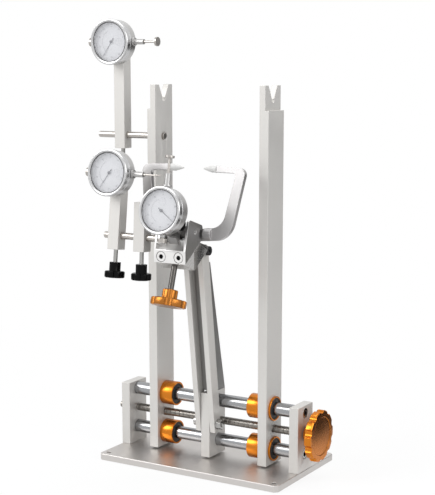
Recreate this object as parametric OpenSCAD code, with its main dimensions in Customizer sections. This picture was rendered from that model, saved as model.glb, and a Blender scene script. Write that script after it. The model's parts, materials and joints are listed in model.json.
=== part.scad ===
// Wheel truing stand with self-centring uprights, a swinging caliper arm and three dial gauges.
// X runs along the guide rods, Y points to the back, Z points up.
// The origin is on the bench, under the middle of the guide rods.

/* [Base plate] */
// Length of the base plate along the rods
plate_l = 252; // [236:1:300]
// Depth of the base plate
plate_w = 150; // [110:1:200]
// Thickness of the base plate
plate_t = 8; // [5:0.5:12]
// Size of the corner chamfers of the plate
plate_corner = 4; // [1:0.5:8]
// Size of the chamfer round the top and bottom edges
plate_edge = 0.6; // [0.2:0.1:1.5]
// How far the middle of the plate lies behind the rods
plate_back = 4.5; // [0:0.5:10]
// Diameter of the four bench screw holes
plate_hole_d = 5.5; // [4:0.1:8]
// Distance of those holes from the plate edges
plate_hole_in = 9; // [7:0.5:12]

/* [Flat bar stock] */
// Thickness of the bar that the uprights, post and end blocks are cut from
bar_t = 12; // [10:0.5:14]
// Depth of that bar from front to back
bar_d = 38; // [34:0.5:44]
// Gap between the base plate and the ends of the uprights and post
bar_lift = 2; // [1:0.25:4]

/* [End blocks] */
// Height of an end block above the plate
block_h = 80; // [76:1:100]
// Diameter of the screws that hold the blocks from below
base_screw_d = 5; // [4:0.5:6]

/* [Guide rods] */
// Diameter of the guide rods
rod_d = 16; // [12:0.5:16]
// Height of the lower rod above the plate
rod_low = 20.5; // [20:0.5:24]
// Distance between the two rods
rod_gap = 50; // [46:0.5:52]
// How deep the rods sit in the end blocks
rod_seat = 5; // [3:0.5:6]
// Diameter of the screws in the rod ends
rod_screw_d = 5; // [4:0.5:6]

/* [Lead screw] */
// Diameter of the lead screw
screw_d = 10; // [8:0.5:12]
// Diameter of the screw's journals in the end blocks
journal_d = 8; // [6:0.5:8]
// Outer diameter of the bushes that carry the journals
bush_d = 12; // [11:0.5:14]
// Outer diameter of the drive nuts in the uprights
nut_d = 18; // [15:0.5:18]

/* [Star knob] */
// Diameter of the star knob
star_d = 62; // [50:1:70]
// Thickness of its rim
star_t = 9; // [8:0.5:14]
// Number of lobes
star_lobes = 10; // [8:1:12]
// Diameter of its boss
star_boss_d = 18; // [16:0.5:22]
// Length of its boss
star_boss_l = 11.5; // [8:0.5:14]

/* [Uprights] */
// Length of an upright
upright_h = 452.5; // [440:0.5:480]
// Width between the inner faces of the uprights
inner_w = 143; // [135:1:150]
// Thickness of the thinned top
thin_t = 7.5; // [6:0.25:9]
// Height of the thinned top
thin_h = 29; // [24:0.5:34]
// Width of the axle notch at the top
notch_w = 21; // [14:0.5:22]
// Depth of the axle notch
notch_h = 20; // [16:0.5:22]
// Diameter of the round relief at the bottom of the notch
notch_d = 5.5; // [4:0.25:8]

/* [Slide sleeves] */
// Outer diameter of a sleeve
sleeve_d = 30; // [29.5:0.25:31]
// Diameter of the spigot through the upright
spigot_d = 28; // [27:0.25:28.5]
// Diameter of the bearing in the sleeve
bearing_d = 26; // [24:0.25:26]
// Length of the sleeve inside the upright
sleeve_l = 18; // [12:0.5:20]
// Width of the ring on the outer face
ring_l = 2.5; // [2:0.25:3]

/* [Centre post and arm] */
// Height of the centre post
post_h = 81; // [78:0.5:84]
// How far the post sits in front of the rods
post_fore = 3; // [0:0.5:4]
// Distance of the arm pivot in front of the rods
pivot_fore = 15; // [14:0.5:16]
// Height of the arm pivot above the plate
pivot_up = 44.5; // [43:0.5:46]
// Diameter of the arm pivot bolt
pivot_d = 6; // [5:0.5:7]
// Forward lean of the parked arm
arm_lean = 7.5; // [6:0.25:9]
// Length of the arm from pivot to tilt bolt
arm_l = 220; // [190:1:240]
// Depth of an arm bar
arm_w = 15; // [12:0.5:15]
// Thickness of an arm bar
arm_t = 7; // [5:0.25:8]
// Play of the post between the arm bars, on each side
arm_play = 0.5; // [0.3:0.1:0.8]
// Depth of the spine bar at its foot
spine_foot = 31; // [24:0.5:32]
// Depth of the spine bar at its top
spine_top = 17; // [12:0.5:20]
// Diameter of the pins that hold the spine
pin_d = 2.5; // [2:0.25:3]

/* [Caliper carriage] */
// Backward tilt of the carriage when the arm is parked
tilt = 18; // [14:0.5:22]
// Width of the carriage across the cheeks
car_w = 43; // [41:0.5:48]
// Thickness of the bracket's sheet
cheek_t = 3; // [2.5:0.25:3.5]
// Height of the cheeks
cheek_h = 50; // [48:0.5:54]
// Distance of the tilt bolt behind the knob axis
hinge_back = 39.5; // [38:0.5:42]
// Height of the tilt bolt above the bracket's lower edge
hinge_up = 26.5; // [25:0.5:27]
// Diameter of the tilt bolt
tilt_d = 6; // [5:0.5:7]
// Slope of the bracket's underside against the knob axis
under_slope = 38; // [34:1:42]

/* [Caliper jaws] */
// Thickness of a jaw
jaw_t = 6; // [4:0.25:6]
// Height of the jaw pivots above the bracket's lower edge
jaw_pivot_up = 40; // [38:0.5:42]
// Distance of each jaw pivot from the middle
jaw_pivot_x = 14; // [13:0.25:15]
// Forward lean of the jaws and the centre dial against the knob axis
jaw_lean = 7.5; // [5:0.25:9]
// Height of the jaw tips above their pivots
jaw_reach = 77.7; // [70:0.1:90]
// Outer half width of the jaws at their top corners
jaw_half_w = 70; // [64:0.5:80]
// Width of a jaw's side
jaw_side_w = 12.6; // [10:0.2:14]
// Outward lean of a jaw's side
jaw_side_lean = 8.7; // [5:0.1:12]
// Width between the two tips
tip_gap = 27.5; // [22:0.5:34]
// Diameter of the adjusting screw
adjust_d = 7; // [6:0.25:8]
// Diameter of the adjusting knob
adjust_knob_d = 42; // [34:0.5:48]

/* [Gauge bars] */
// Width and depth of the square gauge bars
gauge_w = 15; // [14:0.5:16]
// Diameter of the cross rods
cross_d = 8; // [6:0.25:8]
// Length of the upper cross rod
cross_up_l = 97; // [92:0.5:120]
// Length of the lower cross rod
cross_low_l = 85; // [84:0.5:110]
// Distance of the upper cross rod below the tops of the uprights
cross_drop = 62.5; // [40:0.5:90]
// Distance of the upper bar outside the left upright
gauge_up_out = 49; // [38:0.5:56]
// Distance of the lower bar from the middle
gauge_low_x = 79.5; // [70:0.5:82]
// Distance of the short bar from the middle
gauge_short_x = 43.5; // [36:0.5:46]
// Height of the upper bar over its rod
gauge_up_h = 121; // [100:1:125]
// Height of the lower bar over its rod
gauge_low_h = 84; // [66:1:88]
// Height of the short bar over its rod
gauge_short_h = 41; // [26:1:44]
// Length of a bar below its rod
gauge_foot = 16.5; // [14:0.5:20]
// Backward lean of the lower bar
gauge_lean = 7; // [0:0.5:12]
// Diameter of the star clamp knobs
clamp_knob_d = 24; // [20:0.5:26]

/* [Dial gauges] */
// Diameter of the bezel
bezel_d = 55; // [53:0.5:58]
// Diameter of the case
case_d = 53; // [52:0.25:53]
// Depth of the case behind the spindle axis
case_back = 7.5; // [6:0.25:8]
// Distance of the bezel's front before the spindle axis
bezel_fore = 13; // [12.5:0.25:14]
// Diameter of the stem
stem_d = 6.5; // [6:0.25:8]
// Length of the stem from the middle of the dial
stem_l = 43; // [38:0.5:46]
// Diameter of the spindle
spindle_d = 3; // [2.5:0.25:4]
// Reach of a spindle with a disc contact
disc_reach = 63; // [58:0.5:68]
// Reach of a spindle with a needle contact
needle_reach = 67; // [62:0.5:72]
// Diameter of the disc contact
disc_d = 11; // [8:0.5:12]

/* [Hidden] */

// Number of faces on round parts
$fn = 96;
// Overrun of cuts past a face
over = 1;
// Depth that joined solids reach into each other
sink = 0.25;
// Radial clearance of a running fit
run = 0.05;
// Radial clearance of a fixed fit
fixed = 0.02;
// Clearance between faces that move past each other
clear = 0.3;

bar_z = plate_t + bar_lift;
rod_z = [plate_t + rod_low, plate_t + rod_low + rod_gap];
screw_z = plate_t + rod_low + rod_gap / 2;
block_x = plate_l / 2 - bar_t;
rod_half = block_x + rod_seat;
upright_x = inner_w / 2;
upright_top = bar_z + upright_h;
post_top = bar_z + post_h;
cross_z = upright_top - cross_drop;

neck_share = 0.6;
rod_cbore_d = 11.5;
rod_cbore_h = 4;
cap_play = 0.55;
base_head_d = 8.5;
base_head_h = 5;
base_screw_l = 18;
base_screw_y = 11;
hex_share = 0.55;
socket_share = 0.75;

end_cap_d = 8;
end_cap_h = 12.5;
end_cap_neck = 0.5;
rod_mouth_d = 11.5;
rod_mouth_h = 1.2;
nut_flange_d = 20;
nut_flange_h = 1.5;
knob_gap = 1.5;
star_scallop_d = 10.5;
star_scallop_in = 0.6;
star_bevel = 1.2;
star_pocket_d = 46;
star_pocket_h = 0.5;

bearing_in = 0.4;

nut_hex = 6.5;
nut_h = 6;
head_d = 11;
head_h = 4;
washer_h = 0.8;
bolt_end = 1.2;
arm_foot = 9.5;
spine_lap = 4;
spine_stop = 20;
pin_in = 2;
foot_gap = 0.3;
foot_rise = 1.1;
pin_shares = [0.3, 0.55, 0.8];

arm_gap = bar_t + 2 * arm_play;
arm_out = arm_gap / 2 + arm_t;
pivot_y = -pivot_fore;
pivot_z = plate_t + pivot_up;
tilt_y = pivot_y - arm_l * sin(arm_lean);
tilt_z = pivot_z + arm_l * cos(arm_lean);
tongue_t = arm_gap - 2 * run;

// Carriage outline in its own plane, v to the back and w along the knob axis
toe = [-11.5, 0.5];
cheek_fore = 19;
cheek_back = 14;
flange_h = 15;
flange_t = 4;
web_t = 3;
web_end = 5.5;
rear_bar_t = 8;
rear_bar_h = 8;
block_chin = [10, -2.3];
block_tail = [12.5, 32.5];
block_heel = [1, 1.5];
block_chamfer = [8, 19];
cross_hole_d = 5;
cross_hole_v = 2;
cross_hole_w = 40.6;
rod_boss_w = 11.5;
grub_d = 4;
grub_l = (rod_boss_w - cross_d) / 2 - 2 * clear;
web_rise = 20.5;
rod_boss_l = 8;
rod_run_out = 4;
cross_low_v = 11;
cross_low_w = 28;
bracket_screw_d = 6;
bracket_head_d = 11.5;
bracket_head_h = 3.2;
bracket_screw_x = 11.8;
bracket_screw_l = 10;
bracket_screw_up = 7.2;
cheek_round = 4;
tilt_spacer = 2.4;
tilt_spacer_d = 9;

jaw_hub_d = 14;
jaw_pin_d = 5;
jaw_pin_seat = 6;
jaw_pin_head_d = 9;
jaw_pin_head_h = 2.5;
lap_gap = 0.4;
fork_h = 11;
fork_end = 3.5;
crosshead_pin_d = 5;
crosshead_w = 14;
crosshead_fore = 6;
crosshead_back = 4.4;
crosshead_h = 12;
pin_root = 10;
fork_play = 0.1;
slot_travel = 4;
tip_d = 8.5;
tip_point_d = 2;
tip_cone_l = 11;
tip_body_l = 7;
tip_spigot_d = 3.5;
tip_spigot_l = 6;
jaw_arm_h = 7.8;
jaw_corner_r = 8;
jaw_corner_drop = 1.5;
jaw_inner_r = 4;
jaw_bow = [37, 19.5];
jaw_bow_r = 24.5;
jaw_crook = [31, 27.5];
jaw_crook_r = 18.5;
shank_d = 14.2;
shank_x = 23.5;
shank_end = 33.5;

adjust_top = 50;
adjust_low = 28;
adjust_hub_d = 18;
adjust_hub_h = 11;
adjust_rim_h = 9;
adjust_lobes = 6;
adjust_scallop_d = 10;
hub_scallop_d = 6;

holder_w = 12;
holder_h = 26;
holder_rise = [11, 16];
holder_crook = [[-8, 33], [-8, 36], [-15, 37], [-16, 30]];
holder_knob_d = 15;
holder_knob_l = 9;
holder_knob_back = 9;
holder_knob_low = 13;

dial_v = 39;
dial_w = 55.7;
top_dial_z = 113;
side_dial_z = 72.5;
clamp_screw_d = 5;
clamp_tip_gap = 0.6;
clamp_neck = 15;
clamp_hub_d = 13.5;
clamp_hub_h = 10.5;
clamp_rim_h = 8;
clamp_lobes = 7;
clamp_scallop_d = 6;

case_wall = 2;
plate_fore = 6;
movement_t = 1;
neck_d = 50;
skirt_end = 3.6;
lens_t = 1.5;
lens_lip = 0.8;
lens_lip_w = 1.6;
face_t = 0.5;
face_gap = 0.4;
arbor_d = 2;
arbor_in = 0.3;
pointer_t = 0.4;
pointer_w = 0.45;
pointer_share = 0.82;
tail_share = 0.25;
pointer_hub_d = 3.6;
pointer_hub_h = 1.2;
pointer_gap = 0.6;
low_boss_l = 30;
cap_d = 10.5;
cap_l = 5;
cap_gap = 1;
disc_t = 2.5;
needle_d = 2;
needle_tip_d = 0.8;
needle_tip_l = 4;
stem_root = 24;
stem_collar_d = 10;
stem_collar_l = 30;
edge_bevel = 1;
pointer_angle = 125;

// Points of an arc of radius r round c, from angle a0 to a1
function arc(c, r, a0, a1, steps = 12) =
    [for (i = [0:steps]) c + r * [cos(a0 + (a1 - a0) * i / steps), sin(a0 + (a1 - a0) * i / steps)]];

// A cylinder along X that starts at x
module x_cyl(d, l, x = 0) {
    translate([x, 0, 0]) rotate([0, 90, 0]) cylinder(d = d, h = l);
}

// A cylinder along Y that starts at y
module y_cyl(d, l, y = 0) {
    translate([0, y, 0]) rotate([-90, 0, 0]) cylinder(d = d, h = l);
}

// A hexagonal socket along X that opens to +X at x
module x_socket(across, l, x = 0) {
    translate([x - l, 0, 0]) rotate([0, 90, 0]) cylinder(d = across / cos(30), h = l + over, $fn = 6);
}

// A hexagonal socket along Y that opens to -Y at y
module y_socket(across, l, y = 0) {
    translate([0, y - over, 0]) rotate([-90, 0, 0]) cylinder(d = across / cos(30), h = l + over, $fn = 6);
}

// An outline in the plane of Y and Z, extruded to the given width across X
module side_plate(points, width, x = 0) {
    translate([x, 0, 0]) rotate([90, 0, 90]) linear_extrude(height = width) polygon(points);
}

// A round star outline with scallops cut into its rim
module star_outline(d, lobes, scallop_d, in_share) {
    difference() {
        circle(d = d);
        for (i = [0:lobes - 1])
            rotate(360 / lobes * i) translate([d / 2 + scallop_d / 2 * (1 - in_share), 0])
                circle(d = scallop_d, $fn = 48);
    }
}

// A star knob along Z with bevelled rim edges, from z = 0 up
module star_rim(d, h, lobes, scallop_d, bevel, in_share = star_scallop_in) {
    intersection() {
        linear_extrude(height = h) star_outline(d, lobes, scallop_d, in_share);
        rotate_extrude()
            polygon([[0, 0], [d / 2 - bevel, 0], [d / 2, bevel], [d / 2, h - bevel],
                     [d / 2 - bevel, h], [0, h]]);
    }
}

// The flat bar section shared by the uprights, post and end blocks
module flat_bar(h, z) {
    translate([-bar_t / 2, -bar_d / 2, z]) cube([bar_t, bar_d, h]);
}

// Copies the children at the height of each guide rod
module at_rods() {
    for (z = rod_z) translate([0, 0, z]) children();
}

module at_screw() {
    translate([0, 0, screw_z]) children();
}

module base_outline() {
    half = [plate_l / 2, plate_w / 2];
    polygon([
        for (s = [[1, 1], [-1, 1], [-1, -1], [1, -1]], k = s[0] * s[1] > 0 ? [0, 1] : [1, 0])
            [s[0] * (half[0] - plate_corner * k), s[1] * (half[1] - plate_corner * (1 - k))]
    ]);
}

module base_plate() {
    color("gainsboro") translate([0, plate_back, 0]) difference() {
        linear_extrude(height = plate_t) base_outline();
        for (sx = [-1, 1], sy = [-1, 1])
            translate([sx * (plate_l / 2 - plate_hole_in), sy * (plate_w / 2 - plate_hole_in), -over])
                cylinder(d = plate_hole_d, h = plate_t + 2 * over);
        at_base_screws() {
            translate([0, 0, -over]) cylinder(d = base_screw_d + 2 * fixed, h = plate_t + 2 * over);
            translate([0, 0, -over]) cylinder(d = base_head_d + 2 * cap_play, h = base_head_h + over);
        }
        for (sy = [-1, 1]) edge_cut([plate_l, 0], [0, sy * plate_w / 2], 0);
        for (sx = [-1, 1]) edge_cut([plate_w, 0], [sx * plate_l / 2, 0], 90);
    }
}

// Chamfers the upper edge of the plate along one side
module edge_cut(size, at, turn) {
    translate([at[0], at[1], plate_t]) rotate([0, 0, turn]) rotate([45, 0, 0])
        cube([size[0] + 2 * over, plate_edge * sqrt(2), plate_edge * sqrt(2)], center = true);
}

// Copies the children at the screws that hold the end blocks, seen from the plate's middle
module at_base_screws() {
    for (sx = [-1, 1], sy = [-1, 1])
        translate([sx * (block_x + bar_t / 2), sy * base_screw_y - plate_back, 0]) children();
}

module base_screws() {
    color("dimgray") translate([0, plate_back, 0]) at_base_screws() difference() {
        union() {
            cylinder(d = base_screw_d, h = base_head_h + base_screw_l);
            translate([0, 0, clear]) cylinder(d = base_head_d, h = base_head_h - clear);
        }
        translate([0, 0, -over])
            cylinder(d = base_head_d * hex_share, h = over + base_head_h / 2, $fn = 6);
    }
}

// The right end block, with blind seats for the rods and a bush for the screw
module block_body() {
    difference() {
        translate([block_x + bar_t / 2, 0, 0]) flat_bar(block_h, plate_t);
        at_rods() {
            x_cyl(rod_d + 2 * fixed, rod_seat + over, block_x - over);
            x_cyl(rod_screw_d + 2 * fixed, bar_t + 2 * over, block_x - over);
            x_cyl(rod_cbore_d + 2 * cap_play, rod_cbore_h + over, block_x + bar_t - rod_cbore_h);
        }
        at_screw() x_cyl(bush_d + 2 * fixed, bar_t + 2 * over, block_x - over);
        for (sy = [-1, 1]) translate([block_x + bar_t / 2, sy * base_screw_y, plate_t - over])
            cylinder(d = base_screw_d + 2 * fixed, h = base_screw_l - plate_t + base_head_h + 2 * over);
    }
}

module block_left() {
    color("silver") mirror([1, 0, 0]) block_body();
}

module block_right() {
    color("silver") block_body();
}

module rod_upper() {
    guide_rod(rod_z[1]);
}

module rod_lower() {
    guide_rod(rod_z[0]);
}

// A guide rod with a tapped hole in each end
module guide_rod(z) {
    tapped = rod_screw_d * 3;
    color("lightgray") translate([0, 0, z]) difference() {
        x_cyl(rod_d, 2 * rod_half, -rod_half);
        for (side = [0, 1]) mirror([side, 0, 0])
            x_cyl(rod_screw_d + 2 * fixed, tapped + over, rod_half - tapped);
    }
}

module rod_screws() {
    grip = rod_screw_d * 2;
    shaft = block_x + bar_t - rod_cbore_h;
    color("dimgray") for (side = [0, 1]) mirror([side, 0, 0]) at_rods() difference() {
        union() {
            x_cyl(rod_screw_d, shaft - rod_half + grip, rod_half - grip);
            x_cyl(rod_cbore_d, rod_cbore_h - clear, shaft);
        }
        x_socket(rod_cbore_d * hex_share, rod_cbore_h / 2, shaft + rod_cbore_h - clear);
    }
}

module screw_bushes() {
    color("darkgoldenrod") for (side = [0, 1]) mirror([side, 0, 0]) at_screw() difference() {
        x_cyl(bush_d, bar_t, block_x);
        x_cyl(journal_d + 2 * run, bar_t + 2 * over, block_x - over);
    }
}

module lead_screw() {
    reach = block_x + bar_t + knob_gap + star_boss_l;
    cap_x = block_x + bar_t + end_cap_neck + end_cap_h;
    color("gray") at_screw() difference() {
        union() {
            x_cyl(screw_d, 2 * (block_x - clear), -(block_x - clear));
            x_cyl(journal_d, 2 * block_x + bar_t + end_cap_neck, -(block_x + bar_t + end_cap_neck));
            x_cyl(journal_d, reach, 0);
            x_cyl(end_cap_d, end_cap_h, -cap_x);
        }
        mirror([1, 0, 0]) x_socket(end_cap_d * hex_share, end_cap_h / 2, cap_x);
    }
}

module drive_knob() {
    boss_x = block_x + bar_t + knob_gap;
    rim_x = boss_x + star_boss_l;
    color("darkorange") at_screw() difference() {
        union() {
            x_cyl(star_boss_d, star_boss_l + star_t / 2, boss_x);
            translate([rim_x, 0, 0]) rotate([0, 90, 0])
                star_rim(star_d, star_t, star_lobes, star_scallop_d, star_bevel);
        }
        x_cyl(journal_d + 2 * fixed, star_boss_l + over, boss_x - over);
        x_cyl(star_pocket_d, star_pocket_h + over, rim_x + star_t - star_pocket_h);
    }
}

// The right upright, standing in its own place
module upright_body() {
    thin_z = upright_top - thin_h;
    difference() {
        translate([upright_x + bar_t / 2, 0, 0]) flat_bar(upright_h, bar_z);
        translate([upright_x + thin_t, -bar_d / 2 - over, thin_z])
            cube([bar_t, bar_d + 2 * over, thin_h + over]);
        at_rods() x_cyl(spigot_d + 2 * fixed, bar_t + 2 * over, upright_x - over);
        at_screw() {
            x_cyl(nut_d + 2 * fixed, bar_t + 2 * over, upright_x - over);
            x_cyl(nut_flange_d + 2 * fixed, nut_flange_h + fixed + over, upright_x - over);
        }
        axle_notch();
    }
}

// The V notch with its round relief, cut through the thinned top
module axle_notch() {
    low = upright_top - notch_h + notch_d / 2;
    half = notch_w / 2;
    neck = notch_d * neck_share / 2;
    translate([upright_x - over, 0, low]) rotate([0, 90, 0]) cylinder(d = notch_d, h = bar_t + 2 * over);
    side_plate([[-neck, low], [neck, low], [half, upright_top],
                [half, upright_top + over], [-half, upright_top + over], [-half, upright_top]],
               bar_t + 2 * over, upright_x - over);
}

module upright_right() {
    color("gainsboro") upright_body();
}

module upright_left() {
    color("gainsboro") difference() {
        mirror([1, 0, 0]) upright_body();
        translate([-upright_x - bar_t - over, 0, cross_z])
            x_cyl(cross_d + 2 * run, bar_t + 2 * over);
        translate([-upright_x - rod_mouth_h, 0, cross_z]) x_cyl(rod_mouth_d, rod_mouth_h + over);
    }
}

// The two sleeves of the right upright
module sleeve_pair() {
    at_rods() difference() {
        union() {
            x_cyl(sleeve_d, sleeve_l, upright_x - sleeve_l);
            x_cyl(spigot_d, bar_t + ring_l, upright_x);
            x_cyl(sleeve_d, ring_l, upright_x + bar_t);
        }
        x_cyl(bearing_d + 2 * fixed, sleeve_l + bar_t + ring_l + 2 * over, upright_x - sleeve_l - over);
    }
}

module sleeves_left() {
    color("darkorange") mirror([1, 0, 0]) sleeve_pair();
}

module sleeves_right() {
    color("darkorange") sleeve_pair();
}

// The round bearings inside the sleeves of the right upright
module bearing_pair() {
    full = sleeve_l + bar_t + ring_l - 2 * bearing_in;
    at_rods() difference() {
        x_cyl(bearing_d, full, upright_x - sleeve_l + bearing_in);
        x_cyl(rod_d + 2 * run, full + 2 * over, upright_x - sleeve_l + bearing_in - over);
    }
}

module bearings_left() {
    color("darkslategray") mirror([1, 0, 0]) bearing_pair();
}

module bearings_right() {
    color("darkslategray") bearing_pair();
}

// The flanged drive nut in the right upright
module drive_nut() {
    at_screw() difference() {
        union() {
            x_cyl(nut_d, bar_t, upright_x);
            x_cyl(nut_flange_d, nut_flange_h, upright_x);
        }
        x_cyl(screw_d + 2 * run, bar_t + 2 * over, upright_x - over);
    }
}

module nut_left() {
    color("darkgoldenrod") mirror([1, 0, 0]) drive_nut();
}

module nut_right() {
    color("darkgoldenrod") drive_nut();
}

module centre_post() {
    color("gainsboro") difference() {
        translate([0, -post_fore, 0]) flat_bar(post_h, bar_z);
        at_rods() x_cyl(rod_d + 2 * fixed, bar_t + 2 * over, -bar_t / 2 - over);
        at_screw() x_cyl(screw_d + 2 * clear, bar_t + 2 * over, -bar_t / 2 - over);
        at_pivot() x_cyl(pivot_d + 2 * fixed, bar_t + 2 * over, -bar_t / 2 - over);
    }
}

module at_pivot() {
    translate([0, pivot_y, pivot_z]) children();
}

module pivot_bolt() {
    left = -(arm_out + washer_h);
    right = arm_out + washer_h + nut_h + bolt_end;
    color("lightgray") at_pivot() difference() {
        union() {
            x_cyl(pivot_d, right - left, left);
            x_cyl(head_d, head_h, left - head_h);
        }
        translate([left - head_h, 0, 0]) mirror([1, 0, 0]) x_socket(pivot_d * hex_share, head_h / 2);
    }
}

// The lock nut and its washer on the right, and the washer under the head on the left
module pivot_nut() {
    start = arm_out + clear;
    color("silver") at_pivot() {
        difference() {
            union() {
                translate([arm_out + washer_h, 0, 0]) rotate([0, 90, 0])
                    cylinder(r = nut_hex, h = nut_h, $fn = 6);
                x_cyl(nut_hex * 2, washer_h - clear + sink, start);
            }
            x_cyl(pivot_d + 2 * fixed, nut_h + washer_h + 2 * over, start - over);
        }
        difference() {
            x_cyl(nut_hex * 2, washer_h - clear, -(arm_out + washer_h));
            x_cyl(pivot_d + 2 * fixed, washer_h + 2 * over, -(arm_out + washer_h) - over);
        }
    }
}

// Places the children in the arm's frame, with Z along the parked arm
module in_arm() {
    at_pivot() rotate([arm_lean, 0, 0]) children();
}

// The right arm bar: round at the tilt bolt, rounded off behind the pivot
module arm_bar() {
    half = arm_w / 2;
    low = -(arm_foot - half);
    in_arm() difference() {
        side_plate(concat([[-half, -arm_foot], [0, -arm_foot]], arc([0, low], half, -90, 0),
                          arc([0, arm_l], half, 0, 180, 24)), arm_t, arm_gap / 2);
        x_cyl(pivot_d + 2 * run, arm_t + 2 * over, arm_gap / 2 - over);
        translate([0, 0, arm_l]) x_cyl(tilt_d + 2 * fixed, arm_t + 2 * over, arm_gap / 2 - over);
        at_arm_pins() x_cyl(pin_d + 2 * fixed, arm_t + 2 * over, arm_gap / 2 - over);
    }
}

module at_arm_pins() {
    for (s = pin_shares) translate([0, arm_w / 2 - pin_in, arm_l * s]) children();
}

module arm_bar_left() {
    color("silver") mirror([1, 0, 0]) arm_bar();
}

module arm_bar_right() {
    color("silver") arm_bar();
}

// A point of the bench frame, seen from the arm's pivot along the parked arm
function to_arm(y, z) =
    let (dy = y - pivot_y, dz = z - pivot_z)
    [dy * cos(arm_lean) + dz * sin(arm_lean), dz * cos(arm_lean) - dy * sin(arm_lean)];

module arm_spine() {
    fore = arm_w / 2 - spine_lap;
    foot_z = post_top + foot_gap;
    heel = to_arm(-post_fore + bar_d / 2, foot_z);
    toe_b = (foot_z + foot_rise - pivot_z + fore * sin(arm_lean)) / cos(arm_lean);
    top_b = arm_l - spine_stop;
    color("darkgray") difference() {
        in_arm() side_plate([[fore, toe_b], [fore + spine_foot, heel[1]],
                             [fore + spine_top, top_b], [fore, top_b]], arm_gap, -arm_gap / 2);
        in_arm() at_arm_pins() x_cyl(pin_d + 2 * fixed, arm_gap + 2 * over, -arm_gap / 2 - over);
    }
}

module arm_pins() {
    color("lightgray") in_arm() at_arm_pins() x_cyl(pin_d, 2 * arm_out, -arm_out);
}

module tilt_bolt() {
    reach = arm_out + tilt_spacer;
    color("dimgray") in_arm() translate([0, 0, arm_l]) difference() {
        union() {
            x_cyl(tilt_d, 2 * reach, -reach);
            for (side = [0, 1]) mirror([side, 0, 0]) {
                x_cyl(tilt_spacer_d, tilt_spacer, arm_out);
                x_cyl(head_d, head_h, reach);
            }
        }
        x_socket(tilt_d * hex_share, head_h / 2, reach + head_h);
    }
}

// Places the children in the carriage frame: Y to the back as v, Z along the knob axis as w
module in_carriage() {
    translate([0, tilt_y, tilt_z]) rotate([-tilt, 0, 0]) translate([0, -hinge_back, -hinge_up])
        children();
}

// Places the children in the plane of the jaws, with Y through the pivots and Z up the jaws
module in_jaws() {
    in_carriage() translate([0, cheek_back, jaw_pivot_up]) rotate([jaw_lean, 0, 0]) children();
}

// A point on the bracket's sloping underside at distance v from the knob axis, shifted by w
function under(v, w = 0) = [v, toe[1] + (v - toe[0]) / tan(under_slope) + w];

// A point on the leaning rear face of the bracket at height w
function rear(w) = [cheek_back - (w - jaw_pivot_up) * tan(jaw_lean), w];

// A point on the upright front face of the bracket's flange, at height w and depth into it
function front(w, depth = 0) = [toe[0] - (w - toe[1]) * tan(tilt) + depth, w];

// A point on the front face of the bracket's sloping web, at the given rise from the flange and depth
function slope_at(rise, depth = 0) =
    front(flange_h) + rise * [sin(under_slope), cos(under_slope)]
    + depth * [cos(under_slope), -sin(under_slope)];

// The block under the bracket, with the tongue that the arm bars hold
module carriage_block() {
    heel = [block_chin[0] + (block_tail[1] - block_chin[1]) * tan(under_slope) - block_heel[0],
            block_tail[1] - block_heel[1]];
    plan = [[block_chamfer[0] - car_w / 2, -cheek_fore], [car_w / 2 - block_chamfer[0], -cheek_fore],
            [car_w / 2, block_chamfer[1] - cheek_fore * 0.6], [car_w / 2, 3 * cheek_fore],
            [-car_w / 2, 3 * cheek_fore], [-car_w / 2, block_chamfer[1] - cheek_fore * 0.6]];
    color("dimgray") in_carriage() difference() {
        union() {
            difference() {
                intersection() {
                    side_plate([toe, under(block_tail[0]), heel, block_chin], car_w, -car_w / 2);
                    rotate([tilt, 0, 0]) translate([0, 0, -car_w]) linear_extrude(height = 2 * car_w)
                        polygon(plan);
                }
                translate([0, hinge_back, hinge_up]) x_cyl(arm_w + 2 * clear, 2 * car_w, -car_w);
            }
            side_plate(concat([block_chin, under(block_tail[0])],
                              arc([hinge_back, hinge_up], arm_w / 2, 80, -120, 24)),
                       tongue_t, -tongue_t / 2);
        }
        translate([0, hinge_back, hinge_up])
            x_cyl(tilt_d + 2 * run, tongue_t + 2 * over, -tongue_t / 2 - over);
        translate([0, 0, -car_w]) cylinder(d = adjust_d + 2 * run, h = 2 * car_w);
        at_bracket_screws() {
            y_cyl(bracket_screw_d + 2 * fixed, 5 * flange_t, 0);
            y_cyl(bracket_head_d + 2 * cap_play, bracket_head_h + over, -over);
        }
    }
}

// Copies the children at the bracket's two front screws, on the flange's front face
module at_bracket_screws() {
    spot = front(bracket_screw_up);
    for (sx = [-1, 1])
        translate([sx * bracket_screw_x, spot[0], spot[1]]) rotate([tilt, 0, 0]) children();
}

// Copies the children at the grub screw that holds the lower cross rod
module at_grub() {
    translate([-car_w / 2 + cheek_t + rod_boss_l / 2, -cross_low_v - rod_boss_w / 2, cross_low_w]) children();
}

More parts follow.
